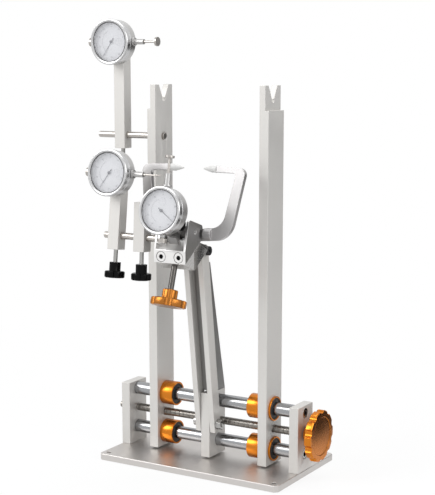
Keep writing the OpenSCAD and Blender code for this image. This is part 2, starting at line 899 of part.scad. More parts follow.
module caliper_bracket() {
    top = toe[1] + cheek_h + over;
    low = under(cheek_back)[1];
    web_w = web_t / sin(under_slope);
    brow = front(flange_h);
    bend_v = toe[0] + flange_t / (1 + tan(tilt) / tan(under_slope));
    cheek = concat([toe, under(cheek_back), rear(low + web_w)],
                   arc(rear(top - cheek_round) - [cheek_round, 0], cheek_round, 0, 90),
                   arc([-cheek_fore + cheek_round, top - cheek_round], cheek_round, 90, 180), [brow]);
    span = car_w - 2 * cheek_t + over;
    color("silver") in_carriage() difference() {
        union() {
            for (x = [-car_w / 2, car_w / 2 - cheek_t]) side_plate(cheek, cheek_t, x);
            side_plate([toe, under(web_end), under(web_end, web_w), front(toe[1] + web_w)], span, -span / 2);
            side_plate([toe, under(bend_v), brow + [flange_t, 0], brow], span, -span / 2);
            side_plate([brow, slope_at(web_rise), slope_at(web_rise, web_t), slope_at(0, web_t)],
                       span, -span / 2);
            translate([-car_w / 2 + cheek_t / 2, -cross_low_v - rod_boss_w / 2, cross_low_w - rod_boss_w / 2])
                cube([rod_boss_l + cheek_t / 2, rod_boss_w, rod_boss_w]);
        }
        translate([0, -cross_hole_v, cross_hole_w])
            x_cyl(cross_hole_d, car_w + 2 * over, -car_w / 2 - over);
        translate([-car_w / 2, -cross_low_v, cross_low_w])
            x_cyl(cross_d + 2 * run, rod_boss_l + cheek_t + rod_run_out, -over);
        translate([0, 0, -car_w]) cylinder(d = adjust_d + 2 * run, h = 2 * car_w);
        at_grub() y_cyl(grub_d + 2 * fixed, rod_boss_w / 2 + over, -over);
        at_bracket_screws() {
            y_cyl(bracket_screw_d + 2 * fixed, 5 * flange_t, -over);
            y_cyl(bracket_head_d + 2 * cap_play, bracket_head_h + over, -over);
        }
    }
}

// The bar across the back of the bracket that carries the jaw pins
module jaw_carrier() {
    slot_h = slot_travel + crosshead_pin_d / 2 + clear;
    wide = car_w - 2 * cheek_t - 2 * fixed;
    high = jaw_pivot_up + rear_bar_h;
    fore = cheek_back - rear_bar_t;
    color("silver") difference() {
        in_carriage() side_plate([under(fore, fixed), under(cheek_back, fixed), rear(jaw_pivot_up), rear(high),
                                  rear(high) - [rear_bar_t, 0], [fore, jaw_pivot_up]], wide, -wide / 2);
        in_jaws() translate([-crosshead_pin_d / 2 - clear, -rear_bar_t - over, -slot_h])
            cube([crosshead_pin_d + 2 * clear, rear_bar_t + 2 * over, 2 * slot_h]);
        in_jaws() for (side = [-1, 1]) translate([side * jaw_pivot_x, 0, 0])
            y_cyl(jaw_pin_d + 2 * fixed, jaw_pin_seat + over, -jaw_pin_seat);
    }
}

module bracket_screws() {
    head = bracket_head_h - clear;
    color("lightgray") in_carriage() {
        at_bracket_screws() difference() {
            union() {
                y_cyl(bracket_screw_d, bracket_screw_l, bracket_head_h);
                y_cyl(bracket_head_d, head, clear);
            }
            y_socket(bracket_screw_d * cos(30), head * socket_share, clear);
        }
        at_grub() difference() {
            y_cyl(grub_d, grub_l, clear);
            y_socket(grub_d * hex_share, grub_l * socket_share, clear);
        }
    }
}

module jaw_pins() {
    color("lightgray") in_jaws() for (side = [-1, 1]) translate([side * jaw_pivot_x, 0, 0]) {
        y_cyl(jaw_pin_d, jaw_pin_seat + jaw_t + 2 * clear, -jaw_pin_seat);
        y_cyl(jaw_pin_head_d, jaw_pin_head_h, jaw_t + 2 * clear);
    }
}

// Outline of the right jaw in its plane, with X from the middle and its pivot at Z = 0
function jaw_outline() =
    let (
        lean = jaw_side_lean,
        side = [cos(lean), -sin(lean)],
        top = jaw_reach + jaw_arm_h / 2,
        arm_x = tip_gap / 2 + tip_cone_l + tip_body_l,
        corner = [jaw_half_w - jaw_corner_r, top - jaw_corner_drop - jaw_corner_r],
        inner = corner - (jaw_side_w - jaw_corner_r + jaw_inner_r) * side
                - [0, jaw_arm_h - jaw_corner_r + jaw_inner_r]
    )
    concat(
        [[arm_x, top]],
        arc(corner, jaw_corner_r, 90, -lean),
        arc(jaw_bow, jaw_bow_r, -lean, -90, 24),
        arc([jaw_pivot_x, 0], jaw_hub_d / 2, 270, 90, 24),
        arc(jaw_crook, jaw_crook_r, -90, -lean, 16),
        arc(inner, jaw_inner_r, -lean, 90, 8),
        [[arm_x, jaw_reach - jaw_arm_h / 2]]
    );

// The right jaw; lap is how far its fork lies behind the front face
module jaw_body(lap) {
    fork_t = (jaw_t - lap_gap) / 2;
    fork_x = -fork_end;
    translate([0, clear, 0]) difference() {
        union() {
            translate([0, jaw_t, 0]) rotate([90, 0, 0]) linear_extrude(height = jaw_t)
                polygon(jaw_outline());
            translate([fork_x, lap, -fork_h / 2]) cube([jaw_pivot_x + fork_end, fork_t, fork_h]);
            translate([0, jaw_t / 2, (jaw_crook[1] - jaw_crook_r + jaw_bow[1] - jaw_bow_r) / 2])
                x_cyl(shank_d, shank_end - shank_x, shank_x);
        }
        translate([jaw_pivot_x, 0, 0]) y_cyl(jaw_pin_d + 2 * run, jaw_t + 2 * over, -over);
        translate([fork_x - over, -over, -crosshead_pin_d / 2 - fork_play])
            cube([2 * fork_end + over, jaw_t + 2 * over, crosshead_pin_d + 2 * fork_play]);
        translate([tip_gap / 2 + tip_cone_l + tip_body_l - over, jaw_t / 2, jaw_reach])
            x_cyl(tip_spigot_d + 2 * fixed, tip_spigot_l + over);
    }
}

module jaw_right() {
    color("silver") in_jaws() jaw_body((jaw_t + lap_gap) / 2);
}

module jaw_left() {
    color("silver") in_jaws() mirror([1, 0, 0]) jaw_body(0);
}

// The pointed tip of the right jaw, turned about X
module tip_body() {
    seat = tip_cone_l + tip_body_l;
    end = seat + tip_spigot_l - clear;
    translate([tip_gap / 2, clear + jaw_t / 2, jaw_reach]) rotate([0, 90, 0]) rotate_extrude()
        polygon([[0, 0], [tip_point_d / 2, 0], [tip_d / 2, tip_cone_l], [tip_d / 2, seat],
                 [tip_spigot_d / 2, seat], [tip_spigot_d / 2, end], [0, end]]);
}

module jaw_tip_right() {
    color("ivory") in_jaws() tip_body();
}

module jaw_tip_left() {
    color("ivory") in_jaws() mirror([1, 0, 0]) tip_body();
}

module adjust_screw() {
    color("lightgray") in_carriage() {
        translate([0, 0, -adjust_low - adjust_hub_h])
            cylinder(d = adjust_d, h = adjust_top + adjust_low + adjust_hub_h);
    }
}

module adjust_knob() {
    rim_z = -adjust_low - adjust_hub_h - adjust_rim_h;
    color("goldenrod") in_carriage() difference() {
        union() {
            translate([0, 0, rim_z])
                star_rim(adjust_knob_d, adjust_rim_h, adjust_lobes, adjust_scallop_d, star_bevel);
            translate([0, 0, rim_z + adjust_rim_h / 2])
                star_rim(adjust_hub_d, adjust_hub_h + adjust_rim_h / 2, adjust_lobes, hub_scallop_d, edge_bevel);
        }
        translate([0, 0, -adjust_low - adjust_hub_h])
            cylinder(d = adjust_d + 2 * fixed, h = adjust_hub_h + over);
    }
}

// The block on the adjusting screw, with the pin that works both jaw forks
module crosshead() {
    color("darkgray") difference() {
        union() {
            in_carriage() translate([-crosshead_w / 2, -crosshead_fore, jaw_pivot_up - crosshead_h / 2])
                cube([crosshead_w, crosshead_fore + crosshead_back, crosshead_h]);
            in_jaws() y_cyl(crosshead_pin_d, pin_root + jaw_t + 2 * clear, -pin_root);
        }
        in_carriage() translate([0, 0, jaw_pivot_up - crosshead_h])
            cylinder(d = adjust_d + 2 * run, h = 2 * crosshead_h);
    }
}

// The block that carries the centre dial in front of the bracket
module dial_holder() {
    color("darkgray") difference() {
        union() {
            at_centre_dial() translate([-holder_w / 2, case_back, -holder_h - over])
                cube([holder_w, cheek_fore - flange_t, holder_h]);
            in_carriage() side_plate(concat([for (rise = holder_rise) slope_at(rise)], holder_crook),
                                     holder_w, -holder_w / 2);
        }
        at_holder_knob() x_cyl(clamp_screw_d + 2 * run, holder_w + 2 * over, -holder_w / 2 - over);
    }
}

// Places the children at the cross screw of the dial holder
module at_holder_knob() {
    at_centre_dial() translate([0, case_back + holder_knob_back, -holder_knob_low]) children();
}

module holder_knob() {
    color("black") at_holder_knob() {
        x_cyl(clamp_screw_d, holder_w, -holder_w / 2 + clear);
        translate([holder_w / 2 + clear, 0, 0]) rotate([0, 90, 0])
            star_rim(holder_knob_d, holder_knob_l, clamp_lobes, clamp_scallop_d / 2, edge_bevel);
    }
}

module cross_rod_upper() {
    color("lightgray") translate([-upright_x + clear * clamp_screw_d - cross_up_l, 0, cross_z])
        x_cyl(cross_d, cross_up_l);
}

module cross_rod_lower() {
    end = -car_w / 2 + cheek_t + rod_boss_l - clear;
    color("lightgray") in_carriage() translate([end - cross_low_l, -cross_low_v, cross_low_w])
        x_cyl(cross_d, cross_low_l);
}

// A gauge bar with its rod hole at the origin and its clamp screw hole below
module gauge_bar(h) {
    difference() {
        translate([-gauge_w / 2, -gauge_w / 2, -gauge_foot]) cube([gauge_w, gauge_w, gauge_foot + h]);
        x_cyl(cross_d + 2 * run, gauge_w + 2 * over, -gauge_w / 2 - over);
        translate([0, 0, -gauge_foot - over]) cylinder(d = clamp_screw_d + 2 * run, h = gauge_foot + over);
    }
}

// A clamp knob with its screw, under a gauge bar whose rod hole is at the origin
module clamp_knob() {
    hub_z = -gauge_foot - clamp_neck - clamp_hub_h;
    translate([0, 0, hub_z])
        cylinder(d = clamp_screw_d, h = -hub_z - cross_d / 2 - clamp_tip_gap);
    translate([0, 0, hub_z]) cylinder(d = clamp_hub_d, h = clamp_hub_h);
    translate([0, 0, hub_z - clamp_rim_h])
        star_rim(clamp_knob_d, clamp_rim_h, clamp_lobes, clamp_scallop_d, edge_bevel);
}

module at_upper_gauge() {
    translate([-upright_x - bar_t - gauge_up_out, 0, cross_z]) children();
}

module gauge_bar_upper() {
    color("silver") at_upper_gauge() gauge_bar(gauge_up_h);
}

module clamp_knob_upper() {
    color("black") at_upper_gauge() clamp_knob();
}

// Places the children on the lower cross rod at x, leaning back from upright by the given angle
module at_lower_gauge(x, lean) {
    in_carriage() translate([-x, -cross_low_v, cross_low_w]) rotate([tilt - lean, 0, 0]) children();
}

module gauge_bar_lower() {
    color("silver") at_lower_gauge(gauge_low_x, gauge_lean) gauge_bar(gauge_low_h);
}

module clamp_knob_lower() {
    color("black") at_lower_gauge(gauge_low_x, gauge_lean) clamp_knob();
}

module gauge_bar_short() {
    color("silver") at_lower_gauge(gauge_short_x, gauge_lean / 2) gauge_bar(gauge_short_h);
}

module clamp_knob_short() {
    color("black") at_lower_gauge(gauge_short_x, gauge_lean / 2) clamp_knob();
}

// The case of a dial gauge: shell, movement plate, stem and lower boss, face towards -Y
module dial_case() {
    collar_z = bezel_d / 2 + clear;
    difference() {
        union() {
            rotate([-90, 0, 0]) rotate_extrude()
                polygon([[0, -plate_fore], [neck_d / 2, -plate_fore], [neck_d / 2, -skirt_end + clear],
                         [case_d / 2, -skirt_end + clear], [case_d / 2, case_back - edge_bevel],
                         [case_d / 2 - edge_bevel, case_back], [0, case_back]]);
            translate([0, 0, stem_root]) cylinder(d = stem_d, h = stem_l - stem_root);
            translate([0, 0, collar_z]) cylinder(d = stem_collar_d, h = stem_collar_l - collar_z);
            translate([0, 0, -low_boss_l]) cylinder(d = stem_d, h = low_boss_l - stem_root);
        }
        rotate([-90, 0, 0]) translate([0, 0, movement_t - plate_fore])
            cylinder(d = case_d - 3 * case_wall, h = plate_fore - movement_t + case_back - case_wall);
        translate([0, 0, -low_boss_l - over])
            cylinder(d = spindle_d + 2 * run, h = low_boss_l + stem_l + 2 * over);
        y_cyl(arbor_d + 2 * run, movement_t + 2 * over, -plate_fore - over);
    }
}

// The bezel ring with its glass and the dial face that turns with it
module dial_bezel() {
    lens_y = -bezel_fore + lens_lip;
    face_y = -plate_fore - face_gap - face_t;
    neck = -plate_fore - face_gap;
    rotate([-90, 0, 0]) rotate_extrude()
        polygon([[bezel_d / 2 - lens_lip - lens_lip_w * 2, -bezel_fore], [bezel_d / 2 - edge_bevel, -bezel_fore],
                 [bezel_d / 2, -bezel_fore + edge_bevel], [bezel_d / 2, -skirt_end],
                 [neck_d / 2 + run, -skirt_end], [neck_d / 2 + run, neck],
                 [neck_d / 2 + run - lens_lip, neck], [neck_d / 2 + run - lens_lip, lens_y],
                 [bezel_d / 2 - lens_lip - lens_lip_w * 2, lens_y]]);
    rim = neck_d + 2 * run - 2 * lens_lip - 2 * fixed;
    y_cyl(rim, lens_t, lens_y);
    difference() {
        y_cyl(rim, face_t, face_y);
        y_cyl(arbor_d * 2, face_t + 2 * over, face_y - over);
    }
}

// The pointer with its hub and arbor, turned to its reading
module dial_pointer() {
    y = -plate_fore - face_gap - face_t - pointer_gap - pointer_t;
    reach = neck_d / 2 * pointer_share;
    tail = reach * tail_share;
    rotate([0, pointer_angle, 0]) union() {
        translate([0, y, 0]) rotate([-90, 0, 0]) linear_extrude(height = pointer_t)
            polygon([[-pointer_w, tail], [pointer_w, tail], [pointer_w / 4, -reach], [-pointer_w / 4, -reach]]);
        y_cyl(pointer_hub_d, pointer_hub_h, y - pointer_hub_h + pointer_t);
        y_cyl(arbor_d, -y - plate_fore + movement_t + arbor_in, y);
    }
}

// A spindle with its cap, and a disc or needle contact
module dial_spindle(reach, needle) {
    cap_z = -low_boss_l - cap_gap - cap_l;
    translate([0, 0, cap_z]) cylinder(d = cap_d, h = cap_l);
    if (needle) {
        translate([0, 0, cap_z]) cylinder(d = spindle_d, h = stem_l + spindle_d - cap_z);
        translate([0, 0, stem_l]) cylinder(d = needle_d, h = reach - needle_tip_l - stem_l);
        translate([0, 0, reach - needle_tip_l]) cylinder(d1 = needle_d, d2 = needle_tip_d, h = needle_tip_l);
    } else {
        translate([0, 0, cap_z]) cylinder(d = spindle_d, h = reach - cap_z - disc_t / 2);
        translate([0, 0, reach - disc_t]) cylinder(d = disc_d, h = disc_t);
    }
}

// Places the children at the dial on the upper bar, with its spindle along +X
module at_top_dial() {
    at_upper_gauge() translate([0, -gauge_w / 2 - case_back, top_dial_z]) rotate([0, 90, 0]) children();
}

// Places the children at the dial on the lower bar, with its spindle along +X
module at_side_dial() {
    at_lower_gauge(gauge_low_x, gauge_lean)
        translate([0, -gauge_w / 2 - case_back, side_dial_z]) rotate([0, 90, 0]) children();
}

// Places the children at the dial in front of the bracket, with its spindle up along the jaws
module at_centre_dial() {
    in_carriage() translate([0, -dial_v, dial_w]) rotate([jaw_lean, 0, 0]) children();
}

module dial_top_case() { color("gray") at_top_dial() dial_case(); }
module dial_top_bezel() { color("lightgray") at_top_dial() dial_bezel(); }
module dial_top_pointer() { color("black") at_top_dial() dial_pointer(); }
module dial_top_spindle() { color("silver") at_top_dial() dial_spindle(disc_reach, false); }
module dial_side_case() { color("gray") at_side_dial() dial_case(); }
module dial_side_bezel() { color("lightgray") at_side_dial() dial_bezel(); }
module dial_side_pointer() { color("black") at_side_dial() dial_pointer(); }
module dial_side_spindle() { color("silver") at_side_dial() dial_spindle(needle_reach, true); }
module dial_centre_case() { color("gray") at_centre_dial() dial_case(); }
module dial_centre_bezel() { color("lightgray") at_centre_dial() dial_bezel(); }
module dial_centre_pointer() { color("black") at_centre_dial() dial_pointer(); }
module dial_centre_spindle() { color("silver") at_centre_dial() dial_spindle(disc_reach, false); }

base_plate();
block_left();
block_right();
base_screws();
rod_upper();
rod_lower();
rod_screws();
screw_bushes();
centre_post();
pivot_bolt();
pivot_nut();
lead_screw();
drive_knob();
upright_left();
sleeves_left();
bearings_left();
nut_left();
upright_right();
sleeves_right();
bearings_right();
nut_right();
arm_bar_left();
arm_bar_right();
arm_spine();
arm_pins();
tilt_bolt();
carriage_block();
caliper_bracket();
bracket_screws();
jaw_carrier();
jaw_pins();
dial_holder();
holder_knob();
adjust_screw();
adjust_knob();
crosshead();
jaw_left();
jaw_tip_left();
jaw_right();
jaw_tip_right();
cross_rod_upper();
gauge_bar_upper();
clamp_knob_upper();
cross_rod_lower();
gauge_bar_lower();
clamp_knob_lower();
gauge_bar_short();
clamp_knob_short();
dial_top_case();
dial_top_bezel();
dial_top_pointer();
dial_top_spindle();
dial_side_case();
dial_side_bezel();
dial_side_pointer();
dial_side_spindle();
dial_centre_case();
dial_centre_bezel();
dial_centre_pointer();
dial_centre_spindle();
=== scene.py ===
"""Looks of the wheel truing stand: finishes, markings, threads, studio and camera.

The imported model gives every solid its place. This script dresses each of them with softened edges
and a worked surface, turns the sleeves, bearings and bezels anew, adds what the solids leave plain
(dial faces, threads, knurls), and sets up a plain white studio. Lengths are in metres, X runs along
the guide rods, Y points to the back and Z up.
"""

from __future__ import annotations

import json
import logging
import math
from dataclasses import dataclass, field
from enum import Enum
from typing import Callable

import bmesh
import bpy
from mathutils import Matrix, Vector

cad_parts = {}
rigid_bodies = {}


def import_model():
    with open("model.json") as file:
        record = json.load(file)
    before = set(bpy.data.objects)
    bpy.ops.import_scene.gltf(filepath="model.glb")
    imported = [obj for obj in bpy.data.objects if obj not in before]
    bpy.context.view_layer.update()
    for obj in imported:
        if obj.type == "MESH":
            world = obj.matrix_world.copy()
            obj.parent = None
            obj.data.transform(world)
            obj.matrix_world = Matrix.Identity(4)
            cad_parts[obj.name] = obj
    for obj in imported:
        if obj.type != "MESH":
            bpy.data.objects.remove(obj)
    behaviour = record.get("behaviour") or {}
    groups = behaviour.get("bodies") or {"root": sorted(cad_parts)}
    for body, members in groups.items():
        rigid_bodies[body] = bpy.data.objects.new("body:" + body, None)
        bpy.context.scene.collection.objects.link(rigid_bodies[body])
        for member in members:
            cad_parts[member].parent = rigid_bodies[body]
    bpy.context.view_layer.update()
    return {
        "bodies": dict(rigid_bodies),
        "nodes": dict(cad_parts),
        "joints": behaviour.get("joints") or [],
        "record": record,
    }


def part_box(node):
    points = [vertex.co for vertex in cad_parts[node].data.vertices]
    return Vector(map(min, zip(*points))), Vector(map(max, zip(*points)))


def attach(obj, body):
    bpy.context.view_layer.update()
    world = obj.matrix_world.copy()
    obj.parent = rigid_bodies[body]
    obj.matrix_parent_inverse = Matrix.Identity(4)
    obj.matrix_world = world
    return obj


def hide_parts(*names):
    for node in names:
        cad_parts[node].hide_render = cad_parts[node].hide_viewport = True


log = logging.getLogger("truing_stand")

MM = 0.001
Colour = tuple[float, float, float]
Point = tuple[float, float]


# Finishes

class Grain(Enum):
    """Which way the fine marks of a surface run, as the stretch of its noise along X, Y and Z."""

    BLASTED = (1.0, 1.0, 1.0)
    BRUSHED_X = (0.03, 1.0, 1.0)
    BRUSHED_Y = (1.0, 0.03, 1.0)
    BRUSHED_Z = (1.0, 1.0, 0.03)
    MOULDED = (0.5, 0.5, 0.5)


@dataclass(frozen=True)
class Finish:
    """A worked surface.

    Attributes:
        slot: name of the record's material slot.
        colour: linear base colour.
        metallic: 1 for bare or anodised metal, 0 for plastic and paint.
        roughness: mean roughness.
        grain: run of the fine marks.
        grain_size: marks for each metre across the grain.
        grain_depth: height of the marks in metres.
        wear: how far handling changes the roughness, up and down.
        stain: how far handling darkens the colour.
        gloss: level of the mirror reflection of plastic and paint.
        bump: how strongly the marks show.
        smoothest: least roughness that handling leaves.
    """

    slot: str
    colour: Colour
    metallic: float
    roughness: float
    grain: Grain = Grain.BLASTED
    grain_size: float = 2200.0
    grain_depth: float = 0.00002
    wear: float = 0.06
    stain: float = 0.06
    gloss: float = 0.5
    bump: float = 0.5
    smoothest: float = 0.03


SATIN_ALUMINIUM = Finish("satin_aluminium", (0.66, 0.645, 0.62), 0.50, 0.50, Grain.BLASTED, 2600.0, 0.000022)
BRUSHED_PLATE = Finish("brushed_plate", (0.62, 0.595, 0.575), 1.0, 0.44, Grain.BRUSHED_X, 2400.0, 0.000018)
BRACKET_STEEL = Finish("bracket_steel", (0.87, 0.86, 0.85), 1.0, 0.36, Grain.BRUSHED_Z, 1300.0, 0.000018,
                       stain=0.14)
# Painted shade: a darker copy of the bracket's steel, given to the cheeks' outer sides for the shade on them.
PAINTED_CHEEK_SHADE = Finish("bracket_steel", (0.36, 0.355, 0.35), 1.0, 0.30, Grain.BRUSHED_Z, 1300.0, 0.000020,
                     stain=0.16)
JAW_STEEL = Finish("bracket_steel", (0.53, 0.52, 0.52), 1.0, 0.38, Grain.BRUSHED_Z, 1300.0, 0.000025,
                   wear=0.08, stain=0.14)
DARK_ALUMINIUM = Finish("dark_aluminium", (0.27, 0.265, 0.26), 1.0, 0.42, Grain.BRUSHED_Z, 2400.0, 0.000025)
BLOCK_ALUMINIUM = Finish("dark_aluminium", (0.50, 0.49, 0.48), 1.0, 0.24, Grain.BRUSHED_Z, 1300.0, 0.000020,
                         stain=0.16)
ORANGE_ANODISED = Finish("orange_anodised", (0.62, 0.20, 0.022), 1.0, 0.27, Grain.BLASTED, 3000.0, 0.000008)
GOLD_ANODISED = Finish("gold_anodised", (0.40, 0.15, 0.03), 1.0, 0.28, Grain.BLASTED, 3000.0, 0.000008)
ROD_STEEL = Finish("rod_steel", (0.34, 0.345, 0.355), 1.0, 0.23, Grain.BRUSHED_X, 1600.0, 0.000004,
                   wear=0.04, stain=0.03)
SCREW_STEEL = Finish("screw_steel", (0.12, 0.112, 0.105), 1.0, 0.20, Grain.BRUSHED_X, 1800.0, 0.000006)
THREAD_STEEL = Finish("screw_steel", (0.27, 0.255, 0.235), 1.0, 0.30, Grain.BRUSHED_X, 1800.0, 0.000010)
FASTENER_STEEL = Finish("fastener_steel", (0.40, 0.395, 0.385), 1.0, 0.19, Grain.BLASTED, 2500.0, 0.000006)
# Painted shade: near black for the shade in screw sockets (with a little oil there), on the heads' sides and
# in the gaps round the heads.
PAINTED_RECESS_SHADE = Finish("blackened_steel", (0.010, 0.010, 0.010), 0.0, 0.60, Grain.BLASTED, 2500.0, 0.000005,
                       wear=0.05, stain=0.05, gloss=0.1)
BLACKENED_STEEL = Finish("blackened_steel", (0.035, 0.035, 0.038), 0.7, 0.38, Grain.BLASTED, 2500.0, 0.00001)
# Black rubber of the bearing seals, also used for the painted shade ring at each dial glass's edge.
RUBBER_SEAL_AND_SHADE = Finish("bearing_seal", (0.022, 0.021, 0.02), 0.0, 0.45, Grain.MOULDED, 1500.0, 0.000010)
BLACK_PLASTIC = Finish("black_plastic", (0.0028, 0.0028, 0.003), 0.0, 0.20, Grain.MOULDED, 1800.0, 0.000010,
                       stain=0.10, gloss=0.10)
DIAL_CASE = Finish("dial_case", (0.50, 0.495, 0.49), 1.0, 0.34, Grain.BLASTED, 2600.0, 0.000010)
DIAL_BEZEL = Finish("dial_bezel", (0.56, 0.56, 0.565), 1.0, 0.27, Grain.BRUSHED_Y, 2200.0, 0.000006)
POINTER_INK = Finish("pointer_black", (0.03, 0.034, 0.05), 0.2, 0.40, Grain.MOULDED, 2000.0, 0.000002)
SPINDLE_STEEL = Finish("spindle_steel", (0.47, 0.445, 0.42), 1.0, 0.28, Grain.BRUSHED_X, 1800.0, 0.000004)
TIP_PLASTIC = Finish("tip_plastic", (0.70, 0.695, 0.68), 0.0, 0.42, Grain.MOULDED, 1500.0, 0.000012,
                     wear=0.05, stain=0.04)
DIAL_CARD = Finish("dial_bezel", (0.70, 0.70, 0.72), 0.0, 0.55, Grain.MOULDED, 1200.0, 0.000002,
                   wear=0.03, stain=0.02)
DIAL_INK = Finish("pointer_black", (0.15, 0.15, 0.17), 0.0, 0.55, Grain.MOULDED, 1200.0, 0.000001,
                  wear=0.03, stain=0.02)


def new_group(name: str, kind: str, ins: list[tuple[str, str, object]],
              outs: list[tuple[str, str]]) -> bpy.types.NodeTree:
    """A node group with named inputs and outputs.

    Args:
        name: name of the group.
        kind: ShaderNodeTree or GeometryNodeTree.
        ins: name, socket type and default of each input.
        outs: name and socket type of each output.

    Returns:
        The empty group with its input and output nodes.
    """
    tree = bpy.data.node_groups.new(name, kind)
    for label, socket, default in ins:
        item = tree.interface.new_socket(label, in_out="INPUT", socket_type=socket)
        if default is not None:
            item.default_value = default
    for label, socket in outs:
        tree.interface.new_socket(label, in_out="OUTPUT", socket_type=socket)
    tree.nodes.new("NodeGroupInput").name = "In"
    tree.nodes.new("NodeGroupOutput").name = "Out"
    return tree


def connect(tree: bpy.types.NodeTree, node: bpy.types.Node, inputs: dict[str | int, object]) -> None:
    """Sets some inputs of a node.

    Args:
        tree: tree that holds the node.
        node: the node.
        inputs: the socket, node or plain value of each. A node stands for its first output.
    """
    for name, value in inputs.items():
        if isinstance(value, bpy.types.Node):
            value = value.outputs[0]
        if isinstance(value, bpy.types.NodeSocket):
            tree.links.new(value, node.inputs[name])
        elif value is not None:
            node.inputs[name].default_value = value


def add_node(tree: bpy.types.NodeTree, kind: str, inputs: dict[str | int, object],
             **settings: object) -> bpy.types.Node:
    """A node with its settings and inputs.

    Args:
        tree: tree that gets the node.
        kind: its type.
        inputs: its inputs, as connect takes them.
        settings: value of each of its own settings.

    Returns:
        The node.
    """
    node = tree.nodes.new(kind)
    for name, value in settings.items():
        setattr(node, name, value)
    connect(tree, node, inputs)
    return node


def math_node(tree: bpy.types.NodeTree, operation: str, a: object, b: object = None) -> bpy.types.NodeSocket:
    """The result of a Math node.

    Args:
        tree: tree that gets the node.
        operation: the node's operation.
        a: its first input, as connect takes it.
        b: its second input, or None.

    Returns:
        The node's result socket.
    """
    return add_node(tree, "ShaderNodeMath", {0: a, 1: b}, operation=operation).outputs[0]


def new_material(name: str) -> bpy.types.Material:
    """A material with the nodes that it starts with.

    Args:
        name: name of the material.

    Returns:
        The material.
    """
    material = bpy.data.materials.new(name)
    material.use_nodes = True
    return material


@dataclass
class SurfaceGroups:
    """The shader groups that every finish shares: fine grain, and marks of handling.

    Attributes:
        coarse_scale: scale of the coarse grain against the fine one.
        coarse_share: its height against the fine one's.
        scuff_scale: scale of the scuffs against the smudges.
        scuff_width: width of a scuff's line.
        scuff_share: how much the scuffs add to the smudges.
        smudge_from: noise value where a smudge begins.
        smudge_full: noise value where it is full.
    """

    coarse_scale: float = 0.18
    coarse_share: float = 0.35
    scuff_scale: float = 6.0
    scuff_width: float = 0.012
    scuff_share: float = 0.12
    smudge_from: float = 0.32
    smudge_full: float = 0.70

    def __post_init__(self) -> None:
        """Builds both groups once."""
        self.grain = self._grain()
        self.handling = self._handling()

    def _grain(self) -> bpy.types.NodeTree:
        """Fine tooling marks.

        Returns:
            A group with the inputs Vector, Stretch and Size, and the outputs Height and Fleck.
        """
        tree = new_group("Fine grain", "ShaderNodeTree",
                         [("Vector", "NodeSocketVector", None), ("Stretch", "NodeSocketVector", (1, 1, 1)),
                          ("Size", "NodeSocketFloat", 2000.0)],
                         [("Height", "NodeSocketFloat"), ("Fleck", "NodeSocketFloat")])
        given = tree.nodes["In"].outputs
        stretched = add_node(tree, "ShaderNodeVectorMath", {0: given["Vector"], 1: given["Stretch"]},
                             operation="MULTIPLY")
        fine = add_node(tree, "ShaderNodeTexNoise",
                        {"Vector": stretched, "Scale": given["Size"], "Detail": 3.0, "Roughness": 0.6})
        coarse_size = math_node(tree, "MULTIPLY", given["Size"], self.coarse_scale)
        coarse = add_node(tree, "ShaderNodeTexNoise",
                          {"Vector": stretched, "Scale": coarse_size, "Detail": 2.0})
        height = math_node(tree, "ADD", fine, math_node(tree, "MULTIPLY", coarse, self.coarse_share))
        connect(tree, tree.nodes["Out"], {"Height": height, "Fleck": coarse})
        return tree

    def _handling(self) -> bpy.types.NodeTree:
        """Broad soft smudges with a few finer scuffs.

        Returns:
            A group with the inputs Vector and Scale, and the output Smudge from 0 to 1.
        """
        tree = new_group("Handling marks", "ShaderNodeTree",
                         [("Vector", "NodeSocketVector", None), ("Scale", "NodeSocketFloat", 18.0)],
                         [("Smudge", "NodeSocketFloat")])
        given = tree.nodes["In"].outputs
        broad = add_node(tree, "ShaderNodeTexNoise",
                         {"Vector": given["Vector"], "Scale": given["Scale"], "Detail": 4.0})
        scuff_size = math_node(tree, "MULTIPLY", given["Scale"], self.scuff_scale)
        scuff = add_node(tree, "ShaderNodeTexVoronoi", {"Vector": given["Vector"], "Scale": scuff_size},
                         feature="DISTANCE_TO_EDGE")
        lines = math_node(tree, "LESS_THAN", scuff, self.scuff_width)
        total = math_node(tree, "ADD", broad, math_node(tree, "MULTIPLY", lines, self.scuff_share))
        spread = add_node(tree, "ShaderNodeMapRange",
                          {"Value": total, "From Min": self.smudge_from, "From Max": self.smudge_full})
        connect(tree, tree.nodes["Out"], {"Smudge": spread})
        return tree


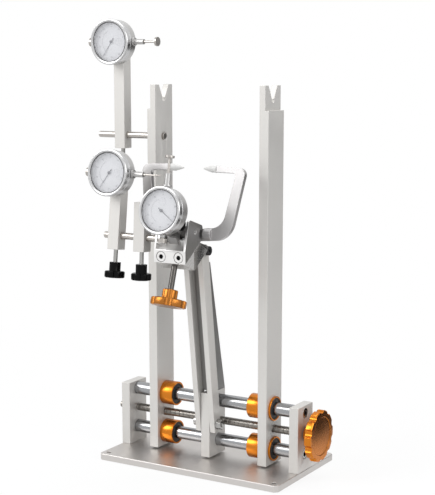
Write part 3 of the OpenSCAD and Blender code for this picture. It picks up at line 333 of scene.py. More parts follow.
class Palette:
    """Makes each finish's material once."""

    def __init__(self) -> None:
        """Starts with no material and the shared groups."""
        self.groups = SurfaceGroups()
        self.made: dict[Finish, bpy.types.Material] = {}
        self.lens: bpy.types.Material | None = None

    def of(self, finish: Finish) -> bpy.types.Material:
        """The material of a finish.

        Args:
            finish: the finish wanted.

        Returns:
            Its material, built at the first call.
        """
        if finish not in self.made:
            self.made[finish] = self._build(finish)
        return self.made[finish]

    def glass(self) -> bpy.types.Material:
        """The clear lens over a dial.

        Returns:
            A nearly clear material that keeps a soft gloss.
        """
        if self.lens is None:
            self.lens = new_material("dial_lens")
            tree = self.lens.node_tree
            connect(tree, tree.nodes["Principled BSDF"],
                    {"Base Color": (0.93, 0.94, 0.96, 1.0), "Roughness": 0.06, "Alpha": 0.16,
                     "Coat Weight": 0.6, "Coat Roughness": 0.05})
        return self.lens

    def _build(self, finish: Finish) -> bpy.types.Material:
        """Wires one finish.

        Args:
            finish: the finish to build.

        Returns:
            The new material.
        """
        material = new_material(finish.slot)
        tree = material.node_tree
        place = tree.nodes.new("ShaderNodeTexCoord").outputs["Object"]
        grain = add_node(tree, "ShaderNodeGroup",
                         {"Vector": place, "Stretch": finish.grain.value, "Size": finish.grain_size},
                         node_tree=self.groups.grain)
        smudge = add_node(tree, "ShaderNodeGroup", {"Vector": place}, node_tree=self.groups.handling)
        shade = math_node(tree, "MULTIPLY", math_node(tree, "ADD", smudge, grain.outputs["Fleck"]), 0.5)
        stained = [level * (1.0 - finish.stain) for level in finish.colour]
        tint = add_node(tree, "ShaderNodeMix",
                        {"Factor": shade, "A": (*finish.colour, 1.0), "B": (*stained, 1.0)}, data_type="RGBA")
        rough = add_node(tree, "ShaderNodeMapRange",
                         {"Value": smudge, "To Min": max(finish.smoothest, finish.roughness - finish.wear),
                          "To Max": finish.roughness + finish.wear})
        bump = add_node(tree, "ShaderNodeBump", {"Strength": finish.bump, "Distance": finish.grain_depth,
                                                 "Height": grain.outputs["Height"]})
        connect(tree, tree.nodes["Principled BSDF"],
                {"Base Color": tint.outputs["Result"], "Metallic": finish.metallic, "Roughness": rough,
                 "Specular IOR Level": finish.gloss, "Normal": bump})
        return material


# Repeated forms

@dataclass
class RepeatTrees:
    """Geometry Nodes trees for what repeats: bars set round a circle, and the turns of a thread.

    Attributes:
        coil_steps: points for each turn of a thread.
        ridge_sides: sides of its ridge.
    """

    coil_steps: int = 20
    ridge_sides: int = 4

    def __post_init__(self) -> None:
        """Builds both trees once."""
        self.spokes = self._spokes()
        self.thread = self._thread()

    def _spokes(self) -> bpy.types.NodeTree:
        """Small boxes in a ring in the plane of X and Y, such as dial ticks or knurls.

        Returns:
            A tree with the inputs Count, Radius, Bar, Start, Sweep and Material.
        """
        tree = new_group("Bars round a circle", "GeometryNodeTree",
                         [("Geometry", "NodeSocketGeometry", None), ("Count", "NodeSocketInt", 10),
                          ("Radius", "NodeSocketFloat", 0.02),
                          ("Bar", "NodeSocketVector", (0.001, 0.0002, 0.00005)),
                          ("Start", "NodeSocketFloat", 0.0), ("Sweep", "NodeSocketFloat", 2 * math.pi),
                          ("Material", "NodeSocketMaterial", None)],
                         [("Geometry", "NodeSocketGeometry")])
        given = tree.nodes["In"].outputs
        line = add_node(tree, "GeometryNodeMeshLine", {"Count": given["Count"]})
        index = tree.nodes.new("GeometryNodeInputIndex")
        share = math_node(tree, "DIVIDE", index, given["Count"])
        angle = math_node(tree, "ADD", given["Start"], math_node(tree, "MULTIPLY", share, given["Sweep"]))
        x, y = (math_node(tree, "MULTIPLY", math_node(tree, part, angle), given["Radius"])
                for part in ("COSINE", "SINE"))
        spot = add_node(tree, "ShaderNodeCombineXYZ", {0: x, 1: y})
        turn = add_node(tree, "ShaderNodeCombineXYZ", {2: angle})
        moved = add_node(tree, "GeometryNodeSetPosition", {"Geometry": line, "Position": spot})
        bar = add_node(tree, "GeometryNodeMeshCube", {"Size": given["Bar"]})
        self._end(tree, add_node(tree, "GeometryNodeInstanceOnPoints",
                                 {"Points": moved, "Instance": bar, "Rotation": turn}))
        return tree

    def _thread(self) -> bpy.types.NodeTree:
        """A ridge wound round Z from Z = 0 up.

        Returns:
            A tree with the inputs Turns, Radius, Length, Ridge, Left hand and Material.
        """
        tree = new_group("Thread ridge", "GeometryNodeTree",
                         [("Geometry", "NodeSocketGeometry", None), ("Turns", "NodeSocketFloat", 10.0),
                          ("Radius", "NodeSocketFloat", 0.005), ("Length", "NodeSocketFloat", 0.02),
                          ("Ridge", "NodeSocketFloat", 0.0005), ("Left hand", "NodeSocketBool", False),
                          ("Material", "NodeSocketMaterial", None)],
                         [("Geometry", "NodeSocketGeometry")])
        given = tree.nodes["In"].outputs
        coil = add_node(tree, "GeometryNodeCurveSpiral",
                        {"Resolution": self.coil_steps, "Rotations": given["Turns"],
                         "Start Radius": given["Radius"], "End Radius": given["Radius"],
                         "Height": given["Length"], "Reverse": given["Left hand"]})
        profile = add_node(tree, "GeometryNodeCurvePrimitiveCircle",
                           {"Resolution": self.ridge_sides, "Radius": given["Ridge"]})
        self._end(tree, add_node(tree, "GeometryNodeCurveToMesh",
                                 {"Curve": coil, "Profile Curve": profile, "Fill Caps": True}))
        return tree

    @staticmethod
    def _end(tree: bpy.types.NodeTree, form: bpy.types.Node) -> None:
        """Ends a tree in Realize Instances and Set Material.

        Args:
            tree: the tree to end.
            form: the node that makes its form.
        """
        real = add_node(tree, "GeometryNodeRealizeInstances", {"Geometry": form})
        paint = add_node(tree, "GeometryNodeSetMaterial",
                         {"Geometry": real, "Material": tree.nodes["In"].outputs["Material"]})
        connect(tree, tree.nodes["Out"], {"Geometry": paint})


def new_object(name: str, data: bpy.types.ID) -> bpy.types.Object:
    """Links a mesh, curve, lamp or camera into the scene.

    Args:
        name: name of the object.
        data: what it holds.

    Returns:
        The object, at the origin.
    """
    obj = bpy.data.objects.new(name, data)
    bpy.context.scene.collection.objects.link(obj)
    return obj


def evaluated_mesh(obj: bpy.types.Object) -> bpy.types.Mesh:
    """A plain mesh of what an object's modifiers make; the object is deleted.

    Args:
        obj: the object to read.

    Returns:
        The new mesh.
    """
    bpy.context.view_layer.update()
    graph = bpy.context.evaluated_depsgraph_get()
    mesh = bpy.data.meshes.new_from_object(obj.evaluated_get(graph), preserve_all_data_layers=True,
                                           depsgraph=graph)
    bpy.data.objects.remove(obj)
    return mesh


def grow(tree: bpy.types.NodeTree, values: dict[str, object]) -> bpy.types.Mesh:
    """Runs a Geometry Nodes tree.

    Args:
        tree: the tree.
        values: value of each named input.

    Returns:
        The form as a plain mesh.
    """
    holder = new_object("seed", bpy.data.meshes.new("seed"))
    modifier = holder.modifiers.new("grow", "NODES")
    modifier.node_group = tree
    for item in tree.interface.items_tree:
        if item.in_out == "INPUT" and item.name in values:
            modifier[item.identifier] = values[item.name]
    return evaluated_mesh(holder)


def joined(meshes: list[bpy.types.Mesh]) -> bpy.types.Mesh:
    """One mesh out of several that share their materials in order.

    Args:
        meshes: the meshes to join.

    Returns:
        The joined mesh.
    """
    work = bmesh.new()
    for mesh in meshes:
        work.from_mesh(mesh)
    result = bpy.data.meshes.new("joined")
    work.to_mesh(result)
    work.free()
    return result


def lathe(profile: list[Point], steps: int = 128) -> bpy.types.Mesh:
    """Turns a closed outline round Z.

    Args:
        profile: points (radius, height) in metres, in order round the outline.
        steps: number of faces round the turn.

    Returns:
        The turned mesh with its faces pointing out.
    """
    work = bmesh.new()
    rings = []
    for step in range(steps):
        angle = 2 * math.pi * step / steps
        rings.append([work.verts.new((r * math.cos(angle), r * math.sin(angle), z)) for r, z in profile])
    for step, ring in enumerate(rings):
        after = rings[(step + 1) % steps]
        for k in range(len(profile)):
            n = (k + 1) % len(profile)
            if profile[k][0] > 0 or profile[n][0] > 0:
                work.faces.new((ring[k], after[k], after[n], ring[n]))
    bmesh.ops.remove_doubles(work, verts=work.verts, dist=1e-7)
    bmesh.ops.recalc_face_normals(work, faces=work.faces)
    mesh = bpy.data.meshes.new("turned")
    work.to_mesh(mesh)
    work.free()
    return mesh


def finish_mesh(mesh: bpy.types.Mesh, place: Matrix, material: bpy.types.Material,
                sharp: float = 35.0) -> bpy.types.Mesh:
    """Places a mesh, shades it and gives it its material.

    Args:
        mesh: the mesh to finish.
        place: where it goes.
        material: its material.
        sharp: edges steeper than this many degrees stay sharp.

    Returns:
        The same mesh.
    """
    mesh.transform(place)
    if place.is_negative:
        mesh.flip_normals()
    mesh.materials.clear()
    mesh.materials.append(material)
    mesh.polygons.foreach_set("material_index", [0] * len(mesh.polygons))
    mesh.shade_smooth()
    mesh.set_sharp_from_angle(angle=math.radians(sharp))
    mesh.update()
    return mesh


def flat_sheet(name: str, half: float, grey: float, roughness: float) -> bpy.types.Object:
    """A square sheet of one dull grey in the plane of X and Y.

    Args:
        name: name of the sheet and its material.
        half: half its side, in metres.
        grey: its linear grey.
        roughness: its roughness.

    Returns:
        The sheet.
    """
    work = bmesh.new()
    bmesh.ops.create_grid(work, x_segments=1, y_segments=1, size=half)
    mesh = bpy.data.meshes.new(name)
    work.to_mesh(mesh)
    work.free()
    material = new_material(name)
    connect(material.node_tree, material.node_tree.nodes["Principled BSDF"],
            {"Base Color": (grey, grey, grey, 1.0), "Roughness": roughness, "Specular IOR Level": 0.0})
    mesh.materials.append(material)
    sheet = new_object(name, mesh)
    return sheet


def along_x(side: int, x: float, z: float) -> Matrix:
    """The place of a form made round Z that shall lie along X.

    Args:
        side: 1 where its Z points to the right, and -1 to the left.
        x: where its origin lies.
        z: height of its axis.

    Returns:
        Its matrix.
    """
    return Matrix.Translation((x, 0.0, z)) @ Matrix.Rotation(side * math.pi / 2, 4, "Y")


def axis_height(node: str) -> float:
    """Height of the axis of a round solid that lies along X.

    Args:
        node: name of the solid.

    Returns:
        The height in metres.
    """
    low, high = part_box(node)
    return (low.z + high.z) / 2


def islands(mesh: bpy.types.Mesh) -> list[list[Vector]]:
    """The separate pieces of a mesh.

    Args:
        mesh: the mesh to part.

    Returns:
        The vertex positions of each piece.
    """
    work = bmesh.new()
    work.from_mesh(mesh)
    left, found = set(work.verts), []
    while left:
        reached, edge_of = [], [left.pop()]
        while edge_of:
            vert = edge_of.pop()
            reached.append(vert.co.copy())
            for edge in vert.link_edges:
                other = edge.other_vert(vert)
                if other in left:
                    left.remove(other)
                    edge_of.append(other)
        found.append(reached)
    work.free()
    return found


def head_place(points: list[Vector], inward: Vector) -> tuple[Vector, float]:
    """Where a screw's head is.

    Args:
        points: vertex positions of the screw.
        inward: direction in which the screw enters.

    Returns:
        The middle of the head's front face, and the head's radius.
    """
    rim_share = 0.8
    across = inward.orthogonal().normalized()
    other = inward.cross(across)
    axis_at = Vector()
    for direction in (across, other):
        span = [point.dot(direction) for point in points]
        axis_at += direction * (min(span) + max(span)) / 2
        reach = (max(span) - min(span)) / 2
    rim = [point.dot(inward) for point in points
           if (point - inward * point.dot(inward) - axis_at).length > rim_share * reach]
    return axis_at + inward * min(rim), reach


@dataclass
class Workshop:
    """What every sub-assembly works with.

    Attributes:
        frame: the loaded frame.
        palette: the palette.
        trees: the trees for what repeats.
        body_of: body that each solid rides on.
    """

    frame: dict
    palette: Palette
    trees: RepeatTrees
    body_of: dict[str, str] = field(default_factory=dict)

    def __post_init__(self) -> None:
        """Notes which body each node rides on."""
        for body, nodes in self.frame["record"]["behaviour"]["bodies"].items():
            for node in nodes:
                self.body_of[node] = body

    def soft_copy(self, node: str, finish: Finish, edge: float,
                  cuts: tuple[float, ...] = ()) -> bpy.types.Object:
        """A copy of a solid with softened edges, which takes the solid's place.

        Args:
            node: name of the solid.
            finish: its finish.
            edge: width of the softened edges, in metres.
            cuts: heights at which its flat faces stay parted, in metres.

        Returns:
            The finished piece.
        """
        mesh = self.clean_mesh(node, cuts)
        piece = new_object(node + "_soft", mesh)
        bend = math.radians(32.0)
        if edge > 0:
            soft = piece.modifiers.new("soften", "BEVEL")
            soft.width = edge
            soft.segments = 2
            soft.limit_method = "ANGLE"
            soft.angle_limit = bend
            soft.use_clamp_overlap = False
            soft.harden_normals = True
            split = piece.modifiers.new("split", "TRIANGULATE")
            split.min_vertices = 6
            split.keep_custom_normals = True
            mesh.shade_smooth()
            mesh.set_sharp_from_angle(angle=bend)
            mesh = evaluated_mesh(piece)
            mesh.materials.clear()
            mesh.materials.append(self.palette.of(finish))
            piece = new_object(node + "_finished", mesh)
        else:
            finish_mesh(mesh, Matrix.Identity(4), self.palette.of(finish))
        return self.settle(piece, self.body_of[node], finish.slot, node)

    def clean_mesh(self, node: str, cuts: tuple[float, ...] = ()) -> bpy.types.Mesh:
        """A solid's mesh with its corners joined and its flat faces whole.

        A flat face round a bore can't be one polygon, so it is parted at y = 0 and through the bore's middle.

        Args:
            node: name of the solid.
            cuts: heights of those bores, in metres.

        Returns:
            A new mesh.
        """
        weld, flat = 2e-6, math.radians(0.4)
        work = bmesh.new()
        work.from_mesh(self.frame["nodes"][node].data)
        bmesh.ops.remove_doubles(work, verts=work.verts, dist=weld)
        if cuts:
            for face in work.faces:
                middle = face.calc_center_median()
                face.material_index = 2 * sum(middle.z > cut for cut in cuts) + (middle.y > 0)
        bmesh.ops.dissolve_limit(work, angle_limit=flat, verts=work.verts, edges=work.edges,
                                 delimit={"MATERIAL"})
        for face in work.faces:
            face.material_index = 0
        mesh = bpy.data.meshes.new(node)
        work.to_mesh(mesh)
        work.free()
        return mesh

    def add(self, name: str, mesh: bpy.types.Mesh, body: str, slot: str, *replaced: str) -> bpy.types.Object:
        """Adds a piece of the scene's own making.

        Args:
            name: name of the piece.
            mesh: its finished mesh.
            body: body that it rides on.
            slot: its material slot.
            replaced: solids that it stands for.

        Returns:
            The finished piece.
        """
        return self.settle(new_object(name, mesh), body, slot, *replaced)

    def settle(self, piece: bpy.types.Object, body: str, slot: str, *replaced: str) -> bpy.types.Object:
        """Puts a piece on its body and hides the solids that it stands for.

        Args:
            piece: the piece.
            body: body that it rides on.
            slot: not used.
            replaced: solids that it stands for.

        Returns:
            The same piece.
        """
        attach(piece, body)
        if replaced:
            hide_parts(*replaced)
        log.info("%s on %s, %d faces", piece.name, body, len(piece.data.polygons))
        return piece


@dataclass(frozen=True)
class Part:
    """A solid that keeps its own form.

    Attributes:
        node: name of the solid.
        finish: its finish.
        edge: width of its softened edges, in millimetres.
        cuts: heights of the bores that part its flat faces, in metres.
    """

    node: str
    finish: Finish
    edge: float
    cuts: tuple[float, ...] = ()


@dataclass
class SubAssembly:
    """Base of the sub-assemblies: dresses the solids that it lists.

    Attributes:
        shop: the workshop.
        parts: solids that keep their own form.
    """

    shop: Workshop
    parts: list[Part] = field(default_factory=list)

    def build(self) -> None:
        """Makes every piece of the sub-assembly."""
        self.dress()

    def dress(self) -> None:
        """Gives each listed solid its edges and finish."""
        for part in self.parts:
            self.shop.soft_copy(part.node, part.finish, part.edge * MM, part.cuts)

    def repaint(self, node: str, finish: Finish, wanted: Callable[[bpy.types.MeshPolygon], bool]) -> None:
        """Gives another finish to some faces of a finished piece.

        Args:
            node: solid that the piece stands for.
            finish: the finish of those faces.
            wanted: tells whether a face gets it.
        """
        mesh = bpy.data.objects[node + "_finished"].data
        material = self.shop.palette.of(finish)
        if mesh.materials.find(material.name) < 0:
            mesh.materials.append(material)
        index = mesh.materials.find(material.name)
        for face in mesh.polygons:
            if wanted(face):
                face.material_index = index

    def sink_heads(self, screws: str, host: str, inward: Vector, head_r: float, socket_r: float) -> None:
        """Paints shade into the sockets of the screws that enter along one direction, onto the sides of their
        heads, and into the gaps round their heads.

        Args:
            screws: solid that holds the screws.
            host: solid that they sit in.
            inward: direction in which they enter.
            head_r: radius of a head, in metres.
            socket_r: radius round a socket, in metres.
        """
        side_r, gap_r = (0.97 * head_r, 1.01 * head_r), (1.01 * head_r, head_r + 0.8 * MM)
        head_depth, gap_depth = (0.15 * MM, 5.0 * MM), (0.05 * MM, 6.0 * MM)
        for points in islands(bpy.data.objects[screws + "_finished"].data):
            centre, reach = head_place(points, inward)
            if centre.dot(inward) > 0 or abs(reach - head_r) > 0.1 * MM:
                continue

            def place(face: bpy.types.MeshPolygon) -> Point:
                """Radius and depth of a face round this screw."""
                depth = (face.center - centre).dot(inward)
                return (face.center - centre - inward * depth).length, depth

            def in_head(face: bpy.types.MeshPolygon) -> bool:
                """Whether a face of the screws is in the socket or on the head's side, where shade is
                painted.
                """
                r, depth = place(face)
                return head_depth[0] < depth < head_depth[1] and (r < socket_r or side_r[0] < r < side_r[1])

            def in_gap(face: bpy.types.MeshPolygon) -> bool:
                """Whether a face of the host is in the wall round the head, where shade is painted."""
                r, depth = place(face)
                return gap_depth[0] < depth < gap_depth[1] and gap_r[0] < r < gap_r[1]

            # Painted shade in the socket, on the head's side and in the host's gap round the head.
            self.repaint(screws, PAINTED_RECESS_SHADE, in_head)
            self.repaint(host, PAINTED_RECESS_SHADE, in_gap)


# Base and drive

@dataclass
class Base(SubAssembly):
    """Base plate, end blocks, guide rods, centre post and their screws.

    Attributes:
        head_r: radius of the heads of the rods' screws.
        socket_r: radius round their sockets.
    """

    head_r: float = 5.75 * MM
    socket_r: float = 3.9 * MM
    parts: list[Part] = field(default_factory=lambda: [
        Part("base_plate", BRUSHED_PLATE, 0.35),
        Part("block_left", SATIN_ALUMINIUM, 0.45),
        Part("block_right", SATIN_ALUMINIUM, 0.45),
        Part("centre_post", SATIN_ALUMINIUM, 0.45),
        Part("rod_upper", ROD_STEEL, 0.4),
        Part("rod_lower", ROD_STEEL, 0.4),
        Part("base_screws", BLACKENED_STEEL, 0.0),
        Part("rod_screws", FASTENER_STEEL, 0.15),
        Part("screw_bushes", SATIN_ALUMINIUM, 0.2),
        Part("pivot_bolt", FASTENER_STEEL, 0.25),
        Part("pivot_nut", FASTENER_STEEL, 0.2),
    ])

    def build(self) -> None:
        """Dresses the base and paints shade into the sockets of the rods' screws and round their heads."""
        self.dress()
        for side, host in ((1, "block_right"), (-1, "block_left")):
            self.sink_heads("rod_screws", host, Vector((-side, 0.0, 0.0)), self.head_r, self.socket_r)


@dataclass
class Drive(SubAssembly):
    """Lead screw with a right-hand and a left-hand thread, and its star knob.

    Attributes:
        root_r: radius at the bottom of the thread.
        crest_r: radius at its top.
        half: where each thread ends, from the middle.
        plain: where it starts.
        pitch: its pitch.
    """

    root_r: float = 4.45 * MM
    crest_r: float = 5.0 * MM
    half: float = 113.0 * MM
    plain: float = 9.0 * MM
    pitch: float = 2.0 * MM
    parts: list[Part] = field(default_factory=lambda: [Part("drive_knob", ORANGE_ANODISED, 0.4)])

    def build(self) -> None:
        """Dresses the knob, and cuts the screw."""
        self.dress()
        self.cut_screw()

    def cut_screw(self) -> None:
        """Thins the solid screw to its root and winds both threads on it."""
        axis_z, same = axis_height("lead_screw"), 0.05 * MM
        core = self.shop.clean_mesh("lead_screw")
        for vert in core.vertices:
            away = Vector((0.0, vert.co.y, vert.co.z - axis_z))
            if abs(away.length - self.crest_r) < same:
                away *= self.root_r / away.length
                vert.co.y, vert.co.z = away.y, away.z + axis_z
        steel = self.shop.palette.of(THREAD_STEEL)
        finish_mesh(core, Matrix.Identity(4), steel)
        self.shop.add("lead_screw_core", core, "drive", THREAD_STEEL.slot, "lead_screw")
        length = self.half - self.plain
        ridge = self.crest_r - self.root_r
        for side, hand in ((1, "right"), (-1, "left")):
            coil = grow(self.shop.trees.thread,
                        {"Turns": length / self.pitch, "Radius": self.root_r, "Length": length - ridge,
                         "Ridge": ridge, "Left hand": side < 0, "Material": steel})
            finish_mesh(coil, along_x(side, side * self.plain, axis_z), steel, sharp=25.0)
            self.shop.add(f"thread_{hand}", coil, "drive", THREAD_STEEL.slot)


@dataclass
class Uprights(SubAssembly):
    """Both uprights with their sleeves, nuts and sealed bearings.

    The left one mirrors the right one. Lengths along the rods are measured outward from a bar's inner face.

    Attributes:
        bore_r: radius of a sleeve's bore.
        sleeve_edge: radius of its rounded corners.
        recess: how far the bearings lie inside the sleeves.
        steps: number of faces round a sleeve or a bearing.
    """

    bore_r: float = 13.02 * MM
    sleeve_edge: float = 0.5 * MM
    recess: float = 0.4 * MM
    steps: int = 96

    def build(self) -> None:
        """Dresses the bars and nuts, and turns the sleeves and the bearings."""
        bores = tuple(axis_height(name) for name in ("rod_lower", "lead_screw", "rod_upper"))
        self.parts = [*(Part(f"upright_{hand}", SATIN_ALUMINIUM, 0.5, bores) for hand in ("left", "right")),
                      *(Part(f"nut_{hand}", SATIN_ALUMINIUM, 0.2) for hand in ("left", "right"))]
        self.dress()
        bar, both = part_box("upright_right"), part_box("sleeves_right")
        face, back = bar[0].x, bar[1].x - bar[0].x
        low, high = both[0].x - face, both[1].x - face
        outer_r = axis_height("rod_lower") - both[0].z
        sleeve = [self.rounded_ring(outer_r, low, 0.0), self.rounded_ring(outer_r, back, high)]
        bearing = [self.seal_end(low + self.recess, 1.0) + self.seal_end(high - self.recess, -1.0)[::-1]]
        for side, hand in ((-1, "left"), (1, "right")):
            places = [along_x(side, side * face, axis_height(rod)) for rod in ("rod_lower", "rod_upper")]
            for name, replaced, outlines, finish, sharp in (
                    (f"sleeves_{hand}_finished", f"sleeves_{hand}", sleeve, ORANGE_ANODISED, 25.0),
                    (f"bearing_seals_{hand}", f"bearings_{hand}", bearing, RUBBER_SEAL_AND_SHADE, 35.0)):
                material = self.shop.palette.of(finish)
                turned = joined([finish_mesh(lathe(outline, self.steps), place, material)
                                 for place in places for outline in outlines])
                finish_mesh(turned, Matrix.Identity(4), material, sharp)
                self.shop.add(name, turned, f"upright_{hand}", finish.slot, replaced)

    def rounded_ring(self, outer_r: float, low: float, high: float) -> list[Point]:
        """The outline of a sleeve's wall between two heights, with its four corners rounded.

        Args:
            outer_r: radius of the sleeve.
            low: height of its lower end.
            high: height of its upper end.

        Returns:
            Points (radius, height).
        """
        edge = self.sleeve_edge
        inner, outer, bottom, top = self.bore_r + edge, outer_r - edge, low + edge, high - edge
        points = []
        for r, z, start in ((inner, bottom, 180), (outer, bottom, 270), (outer, top, 0), (inner, top, 90)):
            for turn in (0, 30, 60, 90):
                angle = math.radians(start + turn)
                points.append((r + edge * math.cos(angle), z + edge * math.sin(angle)))
        return points

    def seal_end(self, z: float, inward: float) -> list[Point]:
        """The outline of one bearing end, from the bore out to the shell.

        Args:
            z: height of the end face.
            inward: 1 where the bearing lies above the face, and -1 below it.

        Returns:
            Points (radius, height).
        """
        def at(r: float, down: float) -> Point:
            """A point at radius r in millimetres, that far in from the end face."""
            return r * MM, z + inward * down * MM
        return [at(8.05, 0.3), at(8.3, 0.0), at(8.9, 0.0), at(9.2, 0.5), at(10.6, 0.7), at(11.0, 0.3),
                at(11.4, 0.3), at(11.6, 0.6), at(12.0, 0.6), at(12.2, 0.0), at(12.8, 0.0), at(13.0, 0.2)]


# Arm, carriage and jaws

@dataclass
class Arm(SubAssembly):
    """Swinging arm: two bars, the dark spine between them, pins and tilt bolt."""

    parts: list[Part] = field(default_factory=lambda: [
        Part("arm_bar_left", SATIN_ALUMINIUM, 0.4),
        Part("arm_bar_right", SATIN_ALUMINIUM, 0.4),
        Part("arm_spine", DARK_ALUMINIUM, 0.3),
        Part("arm_pins", SATIN_ALUMINIUM, 0.15),
        Part("tilt_bolt", BLACKENED_STEEL, 0.35),
    ])


@dataclass
class Carriage(SubAssembly):
    """Block, bracket, screws and dial holder at the head of the arm, with the adjusting screw.

    Attributes:
        tilt: how far the bracket's grub screw leans, in degrees.
        head_r: radius of the heads of its two other screws.
        socket_r: radius round their sockets.
        grub_r: radius of the grub screw.
        cheek_x: its cheeks' outer sides lie farther out than this.
    """

    parts: list[Part] = field(default_factory=lambda: [
        Part("carriage_block", BLOCK_ALUMINIUM, 0.4),
        Part("caliper_bracket", BRACKET_STEEL, 0.35),
        Part("bracket_screws", BRACKET_STEEL, 0.2),
        Part("jaw_carrier", BRACKET_STEEL, 0.25),
        Part("jaw_pins", FASTENER_STEEL, 0.2),
        Part("dial_holder", DARK_ALUMINIUM, 0.3),
        Part("holder_knob", BLACK_PLASTIC, 0.2),
        Part("adjust_screw", SCREW_STEEL, 0.3),
        Part("adjust_knob", GOLD_ANODISED, 0.5),
        Part("crosshead", DARK_ALUMINIUM, 0.3),
    ])
    tilt: float = 18.0
    head_r: float = 5.75 * MM
    socket_r: float = 2.7 * MM
    grub_r: float = 2.0 * MM
    cheek_x: float = 20.0 * MM

    def build(self) -> None:
        """Dresses the head of the arm, paints shade into the bracket's screw sockets and round their heads,
        and gives the cheeks' outer sides a darker steel as painted shade.
        """
        self.dress()
        lean = math.radians(self.tilt)
        level, leaning = Vector((0.0, 1.0, 0.0)), Vector((0.0, math.cos(lean), -math.sin(lean)))
        for inward, head_r, socket_r in ((level, self.head_r, self.socket_r),
                                         (leaning, self.grub_r, 0.7 * self.grub_r)):
            self.sink_heads("bracket_screws", "caliper_bracket", inward, head_r, socket_r)
        # Painted shade: the cheeks' outer sides get a darker copy of the bracket's steel.
        self.repaint("caliper_bracket", PAINTED_CHEEK_SHADE, self.on_cheek)

    def on_cheek(self, face: bpy.types.MeshPolygon) -> bool:
        """Whether a face of the bracket is the outer side of a cheek, which gets painted shade."""
        return abs(face.normal.x) > 0.9 and abs(face.center.x) > self.cheek_x


@dataclass
class Jaws(SubAssembly):
    """The two caliper jaws and their pointed tips."""

    parts: list[Part] = field(default_factory=lambda: [
        Part("jaw_left", JAW_STEEL, 0.35),
        Part("jaw_right", JAW_STEEL, 0.35),
        Part("jaw_tip_left", TIP_PLASTIC, 0.15),
        Part("jaw_tip_right", TIP_PLASTIC, 0.15),
    ])


@dataclass
class GaugeBars(SubAssembly):
    """Cross rods, the three gauge bars and their clamp knobs.

    Attributes:
        stem_r: radius of a clamp knob's screw.
    """

    stem_r: float = 2.5 * MM
    parts: list[Part] = field(default_factory=lambda: [
        Part("cross_rod_upper", SPINDLE_STEEL, 0.5),
        Part("cross_rod_lower", SPINDLE_STEEL, 0.5),
        Part("gauge_bar_upper", SATIN_ALUMINIUM, 0.4),
        Part("gauge_bar_lower", SATIN_ALUMINIUM, 0.4),
        Part("gauge_bar_short", SATIN_ALUMINIUM, 0.4),
        Part("clamp_knob_upper", BLACK_PLASTIC, 0.35),
        Part("clamp_knob_lower", BLACK_PLASTIC, 0.35),
        Part("clamp_knob_short", BLACK_PLASTIC, 0.35),
    ])

    def build(self) -> None:
        """Dresses the bars and knobs, and gives each knob's screw a steel finish."""
        self.dress()
        joints = {joint["name"]: joint for joint in self.shop.frame["record"]["behaviour"]["joints"]}
        for name in ("upper", "lower", "short"):
            joint = joints[name + "_clamp_spin"]
            self.bare_screw(f"clamp_knob_{name}", Vector(joint["pos_m"]), Vector(joint["axis"]))

    def bare_screw(self, knob: str, at: Vector, axis: Vector) -> None:
        """Gives the side of a knob's screw the steel finish.

        Args:
            knob: solid of the knob.
            at: a point on its axis.
            axis: direction of the axis.
        """
        def on_screw(face: bpy.types.MeshPolygon) -> bool:
            """Whether a face is part of the screw's side."""
            close = (face.center - at).cross(axis).length < 1.05 * self.stem_r
            return close and abs(face.normal.dot(axis)) < 0.5

        self.repaint(knob, FASTENER_STEEL, on_screw)


# Dial gauges

class Stem(Enum):
    """Which way a dial's stem points, as the turn of its local Z about Y."""

    RIGHT = math.pi / 2
    UP = 0.0


